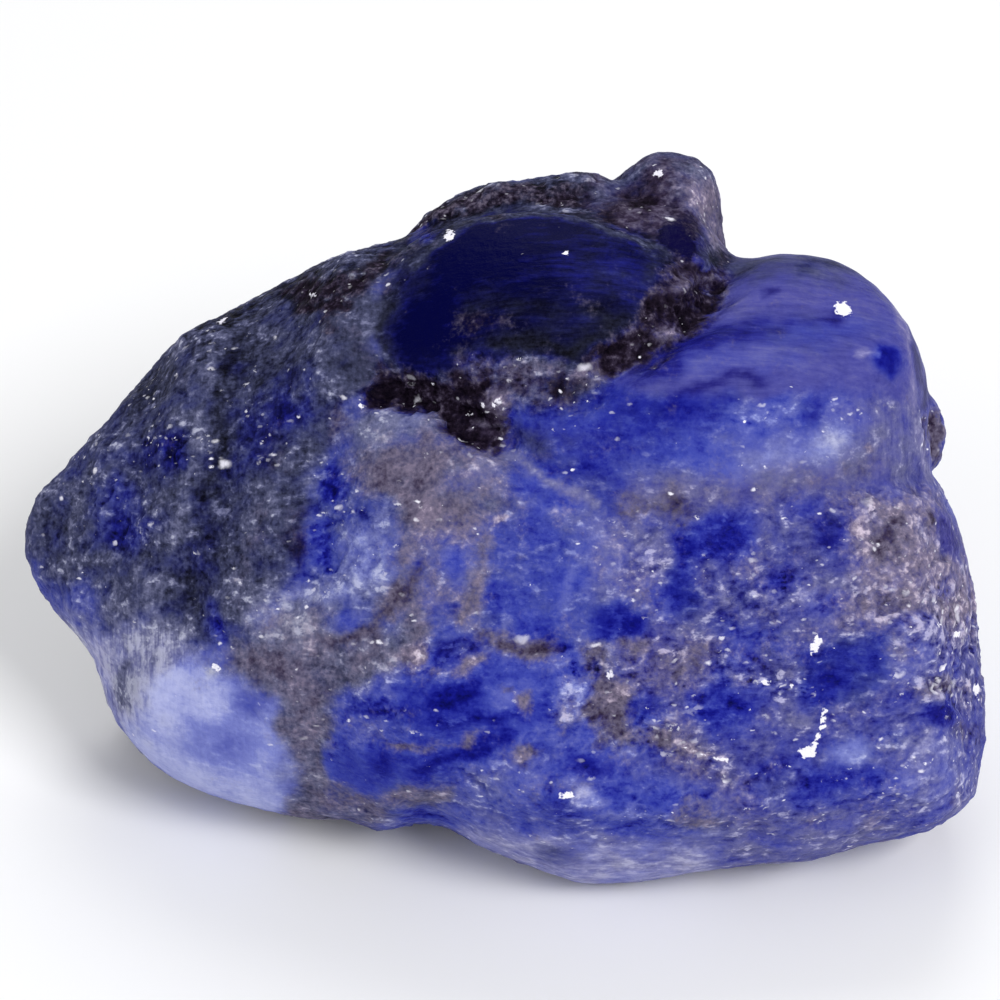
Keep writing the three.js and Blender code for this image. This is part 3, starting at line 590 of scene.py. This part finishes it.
BROWN_VEINS = [
    area([(2.6, -4.4), (3.4, -4.5), (3.5, -5.6), (3.9, -6.8), (4.2, -7.6), (2.9, -7.5), (2.7, -6)],
         vein=0.8, warm=0.48, soot=0.3, speck=0.2, flash=0.2, grit=0.9, tone=0.6),
    spot(2.1, -6, 0.5, 1.1, 0, 0.5, warm=0.7, vein=0.5, tone=0.75, flash=0.8, grit=1),
    spot(2.9, -6.7, 0.35, 0.5, 10, 0.35, warm=0.22, vein=0.9),
    spot(3.5, -6, 0.5, 0.5, 10, 0.35, warm=0.66, vein=0.8),
    area([(3.5, -4.3), (4.9, -4.1), (6.4, -4.7), (6.5, -6), (5.2, -6.2), (4, -5.8)], 0.5, vein=0.5,
         warm=0.52, speck=0.2, flash=0.3, grit=0.9, tone=0.45, violet=0.7),
    area([(2.9, -3.6), (3.6, -3.35), (4.4, -3.7), (4.3, -4.3), (3.4, -4.45), (2.8, -4.2)], 0.25, tone=0.2,
         violet=0, vein=0, soot=0, grit=0.2, speck=0.2),
    spot(4.3, -4.7, 0.6, 0.4, vein=0.85, warm=0.5),
    spot(3.05, -5.2, 0.22, 0.4, 0, 0.2, vein=0, tone=0.1),
    spot(4.5, -6.3, 0.6, 0.4, vein=0, tone=0.3),
    spot(4.9, -7.4, 1, 0.5, -10, vein=0.85, warm=0.55, grit=0.8, flash=0.3),
    spot(3.9, -7.9, 0.9, 0.4, 0, 0.5, vein=0.2, tone=0.6, violet=0.3),
    line([(5.7, -8), (6.6, -8.6), (7.4, -9.4), (7.8, -10)], 0.5, 0.6, vein=0.4, warm=0.55, tone=0.5,
         violet=0.7, soot=0.25, speck=0.5),
    line([(5.5, -7.6), (6.4, -8), (7.3, -8.15)], 0.05, 0.12, vein=0.9, warm=1.1, tone=1),
]

LOWER_RIGHT = [
    area([(4.6, -1), (10.5, -0.2), (15.6, -0.6), (15.8, -9.6), (13, -10.6), (8.6, -10.2), (4.2, -8.2),
          (5.6, -5), (5.4, -3)], 0.6, tone=0.48, violet=0.55, soot=0.25, vein=0.2, warm=0.62, char=0,
         speck=0.4, grit=0.55, fibre=0, streak=0.7),
    area([(5.4, -1), (6.2, -0.6), (7.9, -0.6), (8.1, -1.5), (6.6, -2), (5.6, -2.1)], tone=0.22,
         violet=0.1, vein=0, soot=0, grit=0.35),
    spot(8.9, -1.2, 0.5, 0.8, -30, 0.5, tone=0.42, violet=0.5, vein=0),
    spot(5.6, -2.9, 0.55, 1, 8, tone=0.2, violet=0, vein=0, grit=0.3),
    spot(10.2, -1.1, 0.7, 0.7, 15, tone=0.2, violet=0.35, vein=0, grit=0.3),
    spot(8, -2.9, 1.9, 0.8, 0, 0.9, tone=0.52, violet=0.55, soot=0.3, grit=0.8),
    spot(7.2, -4, 0.9, 0.35, 5, tone=0.34, violet=0.3, vein=0),
    spot(9.4, -2.2, 1, 0.35, 15, 0.5, tone=0.32, vein=0),
    area([(10.8, 0), (13.6, 0.2), (14.4, -1.4), (15.2, -3.4), (14.2, -4.4), (12, -3.9), (10.6, -4),
          (11.2, -2.2), (10.9, -1)], 0.6, vein=0.65, warm=0.64, tone=0.68, violet=0.8, soot=0.3,
         speck=0.4, grit=0.8),
    spot(12.1, -1.1, 0.5, 0.9, 0, 0.6, warm=0.32, vein=0.8),
    spot(13.5, -0.5, 0.25, 0.2, 0, 0.3, warm=0.1, vein=0.9, char=0.5),
    spot(11.2, -0.9, 0.3, 0.4, 0, 0.3, warm=1, vein=0.8, speck=1),
    spot(14.1, -1.1, 0.5, 0.8, 20, 0.35, vein=0, tone=0.26, violet=0.9, soot=0, grit=0.3),
    area([(9.3, -5), (10.4, -4.4), (12.2, -4.2), (12.5, -5.2), (11.4, -6.2), (9.6, -6.4)], tone=0.3,
         violet=0.05, vein=0, speck=0.3, grit=0.3),
    spot(10.6, -5.5, 0.9, 0.4, 10, tone=0.24),
    area([(6, -5.9), (7, -5.8), (8, -6.4), (7.8, -7.2), (6.6, -7.3), (5.9, -6.7)], tone=0.26, violet=0.1,
         vein=0, soot=0, grit=0.4),
    spot(8.4, -9.1, 0.8, 0.8, 30, 0.5, tone=0.4, violet=0.4, vein=0),
    line([(4.6, -6.9), (5.6, -7.7), (6.8, -8.4)], 0.3, 0.4, speck=2.4, tone=0.62, grit=1),
    spot(4.5, -2.2, 0.9, 0.6, 60, 0.6, speck=1.6, tone=0.66, violet=0.7, grit=0.9),
    spot(12.9, -3, 1.2, 0.6, 0, 0.6, speck=2),
    spot(9.6, -2.8, 0.5, 0.4, tone=0.74, speck=1.4),
    spot(8.4, -7.4, 1.2, 0.6, 0, 0.6, tone=0.48, vein=0.05),
    spot(13.1, -4.7, 1.1, 1.1, 0, 0.7, tone=0.64, violet=0.5, vein=0.2, warm=0.7, speck=0.6),
    spot(13.7, -5.8, 0.8, 0.45, 10, vein=0.75, warm=0.4, speck=1),
    spot(13.8, -6.75, 0.8, 0.5, -10, 0.35, tone=0.16, violet=0.3, vein=0, soot=0, grit=0.3),
    spot(14.6, -7.2, 0.4, 0.5, tone=0.4, violet=0.7, speck=1.2, vein=0.5, warm=0.3),
    spot(13.4, -8.6, 1.5, 1.3, 20, 0.8, tone=0.66, violet=0.5, speck=0.8, vein=0),
    spot(8.2, -4.4, 1.4, 0.6, 0, 0.8, tone=0.5, violet=0.4),
    spot(10.8, -7.9, 0.9, 0.6, 5, 0.5, tone=0.78, violet=0, speck=0.2, vein=0, grit=0.3),
    spot(12.2, -7.6, 0.5, 0.4, 5, tone=0.7, violet=0.2, speck=0.9),
    area([(9.4, -8.3), (10.6, -8.5), (11.8, -8.5), (11.6, -9.2), (10.2, -9.5), (9.2, -9.2)], tone=0.25,
         violet=0.15, vein=0, soot=0, grit=0.4),
    spot(4.6, -9.3, 1.7, 0.8, 0, 0.8, tone=0.42, violet=0.15, soot=0.1, vein=0),
    spot(3.2, -9.8, 1, 0.4, 0, 0.5, tone=0.6, violet=0.1, vein=0),
    line([(6, -9.8), (6.8, -10.2), (7.6, -10.8)], 0.5, 0.6, vein=0.6, warm=0.46, soot=0.4, tone=0.5),
    spot(12.6, -9.4, 1.2, 0.5, 20, 0.6, tone=0.62, violet=0.5, speck=0.7),
    line([(7.1, -5.2), (8.2, -5.6), (9.3, -5.9)], 0.35, 0.4, flash=1, grit=0.9),
    line([(5.6, -4.9), (6.4, -5.3), (7, -5.4)], 0.3, 0.4, flash=0.6, grit=0.9),
    line([(11.2, -0.1), (11.4, -1)], 0.25, flash=1, tone=0.7, grit=1),
    line([(7.4, -0.2), (8.8, -0.3)], 0.2, flash=0.6),
    area([(12, -2.6), (14.8, -2.7), (15.3, -4.8), (14, -5), (13.2, -4.3), (11.8, -3.6)], flash=1.2,
         grit=1, violet=0.7, soot=0.3),
    spot(13.9, -5.8, 1.2, 0.5, -15, flash=1.3, grit=1),
    spot(14.6, -7.4, 0.6, 0.4, flash=0.9, vein=0.4, warm=0.3),
    spot(12, -7.4, 0.6, 0.3, 0, 0.3, flash=0.8),
    line([(7.4, -8.8), (7.7, -9.6), (7.8, -10.2)], 0.2, 0.4, flash=0.6, violet=0.7),
    spot(13.8, -9.4, 1.1, 0.5, 30, 0.5, flash=0.4),
]

BOTTOM_BAND = [
    area([(-1.2, -10.2), (0.2, -10.3), (3.6, -10.6), (6.8, -10.4), (7.2, -12), (2, -12.6), (-2, -11.6)],
         0.45, tone=0.8, violet=0.5, soot=0.3, vein=0.05, warm=0.6, streak=1, speck=0.15, grit=0.3),
    # Painted lighter to make up for the shade that falls on this downward-facing band.
    area([(6.8, -10.3), (9.6, -10), (12.6, -9.9), (13, -12), (7, -12)], 0.45, tone=0.6, violet=0.6,
         soot=0.3, vein=0.1, streak=0.6, speck=0.4, grit=0.5),
    spot(1.8, -11, 0.8, 0.3, 5, tone=0.5, soot=0.5),
    spot(4, -11.9, 2.4, 0.4, 3, tone=0.82, soot=0.25),
]

# Painted highlights: the lamp's glints on small facets and rims, painted white into the colour.
GLINTS = [
    spot(-1.57, 8.23, 0.2, 0.26, 0, 0.2),
    spot(10.7, 5.92, 0.34, 0.26, -20, 0.2),
    spot(9.84, -4.5, 0.2, 0.36, -20, 0.2),
    line([(10.15, -6.5), (10.05, -7.1), (9.8, -7.75)], 0.065, 0.12),
    spot(9.62, -7.85, 0.32, 0.26, -20, 0.2),
    spot(3.45, -5.47, 0.15, 0.26, 0, 0.16),
    spot(2.1, -9.2, 0.3, 0.16, 0, 0.16),
    spot(4.95, 10.18, 0.2, 0.12, 10, 0.12),
    spot(-5.78, 6.36, 0.2, 0.14, 0, 0.16),
    spot(-8.7, 5.5, 0.24, 0.1, 30, 0.14),
    spot(-0.1, 3.02, 0.16, 0.14, 0, 0.14),
    spot(-0.5, 3, 0.14, 0.12, 0, 0.14),
    spot(-0.95, 2.7, 0.14, 0.12, 0, 0.14),
    spot(-4.29, 2.94, 0.14, 0.12, 0, 0.14),
    spot(2.04, 7.68, 0.1, 0.08, 0, 0.1),
    spot(2.3, 0.95, 0.12, 0.1, 0, 0.12),
    spot(7.5, 1.1, 0.14, 0.1, 0, 0.12),
    spot(7.6, 2.4, 0.16, 0.1, 20, 0.12),
    spot(1, -2.65, 0.12, 0.08, 10, 0.1),
    spot(-8.9, -5.2, 0.24, 0.14, -20, 0.16),
    spot(14.8, -5.9, 0.14, 0.22, 10, 0.16),
    spot(14.2, -4.2, 0.18, 0.12, 10, 0.14),
    spot(13.7, -3.9, 0.12, 0.1, 10, 0.12),
    spot(8.3, -5.7, 0.22, 0.12, -20, 0.14),
    spot(9.1, -5.8, 0.16, 0.1, -20, 0.12),
    line([(5.7, -7.7), (6.4, -8), (7.3, -8.15)], 0.04, 0.1),
]

ZONES = list(itertools.chain(
    LEFT_SLOPE, RIM_AND_CREST, KNOB, BELOW_THE_SHOULDER, CENTRE, LEFT_OF_CENTRE, LOWER_LEFT, LOWER_RIGHT,
    LOWER_FRONT, BROWN_VEINS, BOTTOM_BAND, SHOULDER, BAND_LEFT_OF_LENS, LENS, GROOVE,
))


def hidden_layers(points):
    """The same kinds of zones from noise, for the sides that the picture doesn't show. Points in mm."""
    wide = layered(points, 7.0, 3, 11)
    patch = layered(points, 2.6, 3, 23)
    net = 1 - np.abs(layered(points, 3.6, 3, 37)) * 5
    crusted = smoothstep(-0.1, 0.35, -points[:, 0] / 15 + 0.9 * wide + 0.25)
    return {
        "tone": 0.46 + 0.55 * patch + 0.25 * wide,
        "violet": 0.3 + 0.6 * layered(points, 5.0, 2, 41),
        "soot": 0.85 * crusted,
        "vein": np.clip(0.9 * net + 0.2 * patch, 0, 0.9),
        "warm": 0.5 + 0.6 * layered(points, 3.0, 2, 53),
        "char": 0.5 * crusted * smoothstep(0, 0.3, layered(points, 2.2, 2, 61)),
        "streak": smoothstep(0.1, 0.4, layered(points, 5.0, 1, 67)) * 0.6,
        "fibre": np.zeros(len(points)),
        "speck": 0.3 + 0.8 * np.clip(layered(points, 3.0, 2, 71), 0, 1),
        "grit": 0.35 + 0.5 * crusted,
        "flash": 0.5 * smoothstep(0.15, 0.4, layered(points, 2.6, 2, 73)) * (1 - crusted),
    }


def wandered(across, points, seed):
    """A picture coordinate bent by noise, so that the zones' edges look natural."""
    return across + 0.35 * layered(points, 2.4, 2, seed) + 0.35 * layered(points, 0.8, 3, seed + 1)


def painted_layers(points, towards_eye):
    """Every layer's value at every vertex. Points in mm, and how far each vertex faces the eye."""
    true_u, true_v = in_picture(points * MM, eye)
    u = wandered(true_u, points, 5)
    v = wandered(true_v, points, 7)
    shown = {name: np.full(len(points), value, float) for name, value in UNPAINTED.items()}
    for weigh, values in ZONES:
        weight = weigh(u, v)
        for name, value in values.items():
            shown[name] += (value - shown[name]) * weight
    hidden = hidden_layers(points)
    front = smoothstep(-0.3, 0.15, towards_eye + 0.15 * layered(points, 2.0, 2, 77))
    layers = {name: hidden[name] + (shown[name] - hidden[name]) * front for name in shown}
    # Painted glints, where the colour is painted white as a highlight
    glint = np.zeros(len(points))
    for weigh, _ in GLINTS:
        glint = np.maximum(glint, weigh(true_u, true_v))
    layers["glint"] = glint * front
    return layers


# The skin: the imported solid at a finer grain, with the broken surface worked into it

def write_points(mesh, points):
    mesh.vertices.foreach_set("co", (points * MM).ravel())
    mesh.update()


def normals_of(mesh):
    flat = np.empty(3 * len(mesh.vertices))
    mesh.vertex_normals.foreach_get("vector", flat)
    return flat.reshape(-1, 3)


def even_squares():
    """The node's mesh cut into small even squares."""
    start = bpy.data.objects.new("skin_start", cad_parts[NODE].data.copy())
    bpy.context.scene.collection.objects.link(start)
    remesh = start.modifiers.new("even squares", "REMESH")
    remesh.mode = "VOXEL"
    remesh.voxel_size = VOXEL
    depsgraph = bpy.context.evaluated_depsgraph_get()
    mesh = bpy.data.meshes.new_from_object(start.evaluated_get(depsgraph))
    bpy.data.objects.remove(start)
    return mesh


def neighbours_mean(values, edges, degree):
    total = np.zeros_like(values)
    np.add.at(total, edges[:, 0], values[edges[:, 1]])
    np.add.at(total, edges[:, 1], values[edges[:, 0]])
    return total / degree[:, None]


def smoothed_mesh():
    """The stone's form with its drawn facets smoothed away, the mesh's edges, and how many of them
    meet at each corner."""
    mesh = even_squares()
    points = vertices_of(mesh) / MM
    edges = np.empty(2 * len(mesh.edges), np.int32)
    mesh.edges.foreach_get("vertices", edges)
    edges = edges.reshape(-1, 2)
    degree = np.bincount(edges.ravel(), minlength=len(points)).astype(float)
    on_base = points[:, 2] < BASE_BAND
    for step in SMOOTHING_STEPS * SMOOTHING_ROUNDS:
        moved = points + step * (neighbours_mean(points, edges, degree) - points)
        moved[on_base, 2] = 0
        points = moved
    write_points(mesh, points)
    return mesh, edges, degree


def relief(points, layers):
    """How far the broken surface stands off the smooth form, in mm."""
    grit, char, vein = (np.clip(layers[name], 0, 1) for name in ("grit", "char", "vein"))
    bare = 1 - layers["soot"]
    broken = smoothstep(0.25, 0.7, grit) * (1 - 0.8 * np.clip(layers["soot"], 0, 1))
    bent = points + 0.35 * layered(points, 1.2, 2, 91)[:, None]
    ledges = bent * np.array([0.7, 1.0, 1.5])
    height = SKIN_OVER_SOLID + BIG_CHIP * broken * chips(ledges, 2.1, 5)
    height += SMALL_CHIP * broken * chips(bent, 0.75, 9)
    height += (LEAST_LUMP + LUMP * grit) * layered(points, 0.8, 2, 101)
    height += GRAIN * grit * lattice_noise(points, 0.33, 103)
    height += CRUST_GRAIN * char * lattice_noise(points, 0.4, 111)
    height -= VEIN_DEPTH * vein * (0.6 + layered(points, 0.9, 2, 121))
    height -= CRUST_DEPTH * smoothstep(0.5, 1, char) * bare
    return height


def painted_relief_shade(points, normals, edges, degree):
    """1 where an edge or bump stands out, and -1 deep in a hollow: painted light on edges and painted shade
    in hollows.
    """
    total = np.zeros(len(points))
    around = points
    for _ in range(RELIEF_SHADE_ROUNDS):
        around = neighbours_mean(around, edges, degree)
        total += np.sum((points - around) * normals, axis=1)
    return np.clip(total / RELIEF_SHADE_HEIGHT, -1, 1)


def stone():
    mesh, edges, degree = smoothed_mesh()
    points = vertices_of(mesh) / MM
    normals = normals_of(mesh)
    towards = np.array(eye) / MM - points
    towards /= np.linalg.norm(towards, axis=1)[:, None]
    layers = painted_layers(points, np.sum(normals * towards, axis=1))
    above_base = smoothstep(BASE_BAND, RELIEF_STARTS, points[:, 2])
    points = points + normals * (relief(points, layers) * above_base)[:, None]
    points = np.clip(points, cad_low / MM, cad_high / MM)
    write_points(mesh, points)
    # Painted light on raised edges and painted shade in hollows, kept for the colour
    layers["painted_relief_shade"] = painted_relief_shade(points, normals_of(mesh), edges, degree) * above_base
    layers["glint"] *= above_base
    for name, values in layers.items():
        attribute = mesh.attributes.new(name, "FLOAT", "POINT")
        attribute.data.foreach_set("value", values.astype(np.float32))
    mesh.shade_smooth()
    piece = bpy.data.objects.new("tanzanite_stone", mesh)
    bpy.context.scene.collection.objects.link(piece)
    return piece


# The material

def colour(red, green, blue):
    """A colour from its usual 0 to 255 numbers, as the shader wants it."""
    linear = [c / 255 / 12.92 if c <= 10 else ((c / 255 + 0.055) / 1.055) ** 2.4 for c in (red, green, blue)]
    return (*linear, 1)


def palette(*stops):
    """Colours along a ramp, from each one's place, red, green and blue."""
    return [(place, colour(*shade)) for place, *shade in stops]


BLUES = palette(
    (0, 1, 2, 54), (0.1, 8, 10, 84), (0.2, 15, 18, 122), (0.3, 34, 41, 145),
    (0.45, 60, 70, 163), (0.65, 92, 99, 176), (0.8, 122, 130, 198), (1, 176, 181, 225))
VIOLETS = palette(
    (0, 10, 4, 50), (0.25, 40, 36, 112), (0.5, 76, 74, 146), (0.7, 104, 100, 154), (1, 168, 160, 202))
GREYS = palette(
    (0, 8, 8, 17), (0.25, 34, 36, 56), (0.5, 66, 69, 98), (0.75, 108, 110, 142), (1, 170, 172, 195))
MATRIX = palette(
    (0, 20, 10, 27), (0.25, 58, 48, 71), (0.5, 98, 91, 114), (0.72, 126, 115, 138), (1, 205, 190, 208))
CHARS = palette((0.32, 8, 4, 12), (0.47, 27, 19, 33), (0.56, 52, 44, 62), (0.68, 98, 90, 108))
# The white of the painted sparkles and glints
SPECK_AND_GLINT_WHITE = colour(240, 238, 250)


class Value:
    """A node's output. Sums, differences and products of values add the nodes that work them out."""

    def __init__(self, socket):
        self.socket = socket

    def __add__(self, other):
        return maths("ADD", self, other)

    def __sub__(self, other):
        return maths("SUBTRACT", self, other)

    def __mul__(self, other):
        return maths("MULTIPLY", self, other)


material = bpy.data.materials.new("tanzanite")
material.use_nodes = True
tree = material.node_tree
surface = tree.nodes["Principled BSDF"]


def put(socket, value):
    if isinstance(value, Value):
        tree.links.new(value.socket, socket)
    else:
        socket.default_value = value


def added(kind, inputs, **settings):
    """A new shader node with its settings and inputs."""
    node = tree.nodes.new("ShaderNode" + kind)
    for name, value in settings.items():
        setattr(node, name, value)
    for name, value in inputs.items():
        put(node.inputs[name], value)
    return node


def maths(operation, a, b):
    return Value(added("Math", {0: a, 1: b}, operation=operation).outputs[0])


def most(*values):
    return functools.reduce(lambda a, b: maths("MAXIMUM", a, b), values)


def layer(name):
    return Value(added("Attribute", {}, attribute_name=name).outputs["Fac"])


def mapped(where, scale=(1, 1, 1), turn=0, shift=(0, 0, 0)):
    """Coordinates stretched, turned in the upright plane by degrees, and shifted."""
    turned = (0, math.radians(turn), 0)
    inputs = {"Vector": where, "Scale": scale, "Rotation": turned, "Location": shift}
    return Value(added("Mapping", inputs).outputs[0])


def noise(where, grain, detail, rough):
    """Noise from 0 to 1 with its middle at 0.5."""
    inputs = {"Vector": where, "Scale": 1 / grain, "Detail": detail, "Roughness": rough}
    return Value(added("TexNoise", inputs).outputs["Fac"])


def swing(value, size):
    """Noise about zero, mostly from minus to plus size."""
    return (value - 0.5) * (5 * size)


def ragged(where, grain, reach):
    """Coordinates pushed about, to make round shapes ragged."""
    push = Value(added("TexNoise", {"Vector": where, "Scale": 1 / grain}).outputs["Color"])
    inputs = {0: push, 1: (5 * reach,) * 3, 2: where}
    return Value(added("VectorMath", inputs, operation="MULTIPLY_ADD").outputs[0])


def step(value, low, high, to_low=0, to_high=1):
    inputs = {"Value": value, "From Min": low, "From Max": high, "To Min": to_low, "To Max": to_high}
    return Value(added("MapRange", inputs, interpolation_type="SMOOTHSTEP").outputs["Result"])


def ramp(value, stops):
    node = added("ValToRGB", {"Fac": value})
    elements = node.color_ramp.elements
    for i, (place, shade) in enumerate(stops):
        element = elements[i] if i < 2 else elements.new(place)
        element.position = place
        element.color = shade
    return Value(node.outputs["Color"])


def blend(share, a, b):
    return Value(added("Mix", {0: share, 6: a, 7: b}, data_type="RGBA").outputs[2])


def specks(where, grain, seed, amount, size):
    """Small bright dots, painted sparkles, in more of the cells where the amount is higher."""
    shifted = mapped(where, shift=(seed, 2 * seed, 3 * seed))
    cells = added("TexVoronoi", {"Vector": shifted, "Scale": 1 / grain})
    parts = added("SeparateColor", {0: Value(cells.outputs["Color"])})
    chance, spread, shine = (Value(parts.outputs[i]) for i in range(3))
    reach = spread * size + 0.06
    dot = step(maths("DIVIDE", Value(cells.outputs["Distance"]), reach), 1, 0.3)
    return maths("LESS_THAN", chance, amount) * dot * (maths("POWER", shine, 2) * 0.8 + 0.2)


# The noises that the colours share, from fine grain to wide patches, in mm

where = mapped(Value(added("TexCoord", {}).outputs["Object"]), (1 / MM,) * 3)
fine = noise(mapped(where, shift=(5, 51, 9)), 0.13, 2, 0.5)
flecks = noise(mapped(where, (0.7, 1, 1.2), shift=(14, -6, 70)), 0.28, 3, 0.55)
middle = noise(where, 0.5, 4, 0.62)
patch = noise(mapped(where, (0.8, 1, 1), shift=(-20, 3, 15)), 1, 5, 0.62)
wide = noise(mapped(where, shift=(31, 7, 3)), 2.2, 4, 0.6)
edge = noise(mapped(where, shift=(-8, 17, 43)), 1.1, 7, 0.68)
lines = noise(mapped(where, (0.16, 1, 1), turn=8), 0.22, 4, 0.65)
fibres = noise(mapped(where, (1, 0.12, 0.12), turn=-12), 0.16, 3, 0.6)
grit, streak, fibre = layer("grit"), layer("streak"), layer("fibre")


def fleck_light_and_pit_shade():
    """Frosted flecks that gather in patches, and dark pits between them. The flecks also raise the bump, so
    they carry painted light and the pits painted shade.
    """
    clustered = step(patch, 0.4, 0.62, 0.25, 1.3)
    frost_and_fleck_light = step(flecks, 0.52, 0.7) * 0.55 * clustered
    painted_pit_shade = step(flecks, 0.46, 0.3) * 0.25
    return (frost_and_fleck_light - painted_pit_shade) * grit


def varied_tone(fleck_light_and_shade):
    """How light the stone is, with everything that varies it, among them painted light and shade on the
    grain and its edges.
    """
    tone = layer("tone") + swing(wide, 0.05)
    tone += swing(patch, 0.2) * (grit + 0.1)
    tone += swing(middle, 0.1) * (grit + 0.15)
    tone += swing(fine, 0.07) * (grit + 0.2)
    tone += fleck_light_and_shade
    tone += swing(flecks, 0.2) * layer("flash")
    # painted light on raised edges and painted shade in hollows
    tone += layer("painted_relief_shade") * (grit * 0.2)
    tone += swing(lines, 0.09) * streak
    return tone + swing(fibres, 0.2) * fibre


def blue_body(tone):
    violet = step(layer("violet") + swing(patch, 0.3) * (grit + 0.1), 0.05, 0.95)
    return blend(violet, ramp(tone, BLUES), ramp(tone, VIOLETS))


def matrix_colour(fleck_light_and_shade):
    warm = layer("warm") + (swing(middle, 0.14) + swing(fine, 0.12))
    # frosted flecks with painted light on the grain and painted shade in its pits
    warm += fleck_light_and_shade * 0.6
    # painted light on the matrix's raised edges and painted shade in its hollows
    return ramp(warm + layer("painted_relief_shade") * 0.12, MATRIX)


def crust_colour():
    # painted light on the crust's raised edges and painted shade in its hollows
    crust = (fine + middle) * 0.5 + layer("painted_relief_shade") * 0.06
    return ramp(crust + (layer("warm") - 0.35) * 0.2, CHARS)


def white_specks_and_painted_glints():
    """Painted highlights, bright white: sparkle specks of three sizes, short glint dashes and the glints."""
    amount = layer("speck") * step(edge, 0.44, 0.62, 0.08, 1.5)
    bent = mapped(ragged(where, 0.3, 0.05), (0.65, 1, 1.3), turn=20)
    tiny = specks(bent, 0.21, 5, amount * 0.9, 0.36)
    small = specks(bent, 0.36, 3, amount * 0.6, 0.32)
    large = specks(bent, 0.75, 11, amount * 0.3, 0.26)
    dashed = layer("flash") * step(edge, 0.4, 0.6, 0.25, 1)
    dashes = specks(mapped(bent, (0.85, 0.6, 1.2)), 0.32, 8, dashed, 0.45)
    glint = layer("glint") + (swing(middle, 0.2) + swing(fine, 0.25)) - 0.15
    return most(tiny, small, large, dashes, step(glint, 0.3, 0.5))


def grain_bump():
    """Grain too fine for the mesh."""
    height = fine * (grit * 0.5 + 0.1)
    height += (middle + flecks) * (grit * 0.6 + 0.2)
    height += lines * (streak * 0.3)
    height += fibres * (fibre * 0.8)
    return Value(added("Bump", {"Strength": 0.8, "Distance": 0.15 * MM, "Height": height}).outputs["Normal"])


def finish_material():
    fleck_light_and_shade = fleck_light_and_pit_shade()
    tone = varied_tone(fleck_light_and_shade)
    soot = step(layer("soot") + swing(patch, 0.22), 0, 0.95)
    vein = step(layer("vein") + (swing(edge, 0.34) + swing(fine, 0.1)), 0.12, 0.95)
    char = step(layer("char") + (swing(edge, 0.3) + swing(fine, 0.15)), 0.25, 0.95)
    body = blend(soot, blue_body(tone), ramp(tone + swing(fine, 0.06) * soot, GREYS))
    body = blend(vein, body, matrix_colour(fleck_light_and_shade))
    body = blend(char, body, crust_colour())
    # Painted highlights: white sparkles, glint dashes and glints laid over the colour
    put(surface.inputs["Base Color"], blend(white_specks_and_painted_glints(), body, SPECK_AND_GLINT_WHITE))
    dull = most(soot * 0.7, vein, char)
    put(surface.inputs["Roughness"], dull * 0.3 + (swing(middle, 0.06) + 0.38))
    put(surface.inputs["Normal"], grain_bump())
    surface.inputs["Specular IOR Level"].default_value = 0.025


finish_material()

piece = stone()
piece.data.materials.clear()
piece.data.materials.append(material)
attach(piece, "root")
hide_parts(NODE)


# The floor and the light

FLOOR_SIDE = 3000 * MM
FLOOR_DROP = 0.02 * MM  # keeps the floor clear of the stone's flat face
LAMP_DISTANCE = 320 * MM


def floor_material():
    material = bpy.data.materials.new("pale floor")
    material.use_nodes = True
    surface = material.node_tree.nodes["Principled BSDF"]
    surface.inputs["Base Color"].default_value = (0.9, 0.9, 0.9, 1)
    surface.inputs["Roughness"].default_value = 0.9
    surface.inputs["Specular IOR Level"].default_value = 0.2
    return material


def floor():
    half = FLOOR_SIDE / 2
    corners = [(-half, -half, 0), (half, -half, 0), (half, half, 0), (-half, half, 0)]
    mesh = bpy.data.meshes.new("floor")
    mesh.from_pydata(corners, [], [(0, 1, 2, 3)])
    mesh.materials.append(floor_material())
    plane = bpy.data.objects.new("floor", mesh)
    bpy.context.scene.collection.objects.link(plane)
    plane.location.z = -FLOOR_DROP
    plane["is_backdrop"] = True


def softbox(name, direction, brightness, side=200 * MM):
    """A square light that faces the stone from a direction. Alone, it would show a white surface that
    faces it at this brightness."""
    data = bpy.data.lights.new(name, "AREA")
    data.shape = "SQUARE"
    data.size = side
    data.energy = brightness * (math.pi * LAMP_DISTANCE) ** 2
    lamp = bpy.data.objects.new(name, data)
    bpy.context.scene.collection.objects.link(lamp)
    towards = Vector(direction).normalized()
    middle = Vector((cad_low + cad_high) / 2)
    turned = towards.to_track_quat("Z", "Y").to_matrix().to_4x4()
    lamp.matrix_world = Matrix.Translation(middle + towards * LAMP_DISTANCE) @ turned


floor()
softbox("key", (0.5, -0.5, 0.75), 0.65, side=120 * MM)
softbox("left", (-0.75, -0.4, 0.5), 0.2)
softbox("back", (0.0, 0.64, 0.77), 0.35)

world = bpy.data.worlds.new("studio")
world.use_nodes = True
background = world.node_tree.nodes["Background"]
background.inputs["Color"].default_value = (0.96, 0.97, 1.0, 1)
background.inputs["Strength"].default_value = 0.42
bpy.context.scene.world = world
bpy.context.scene.view_settings.view_transform = "Standard"
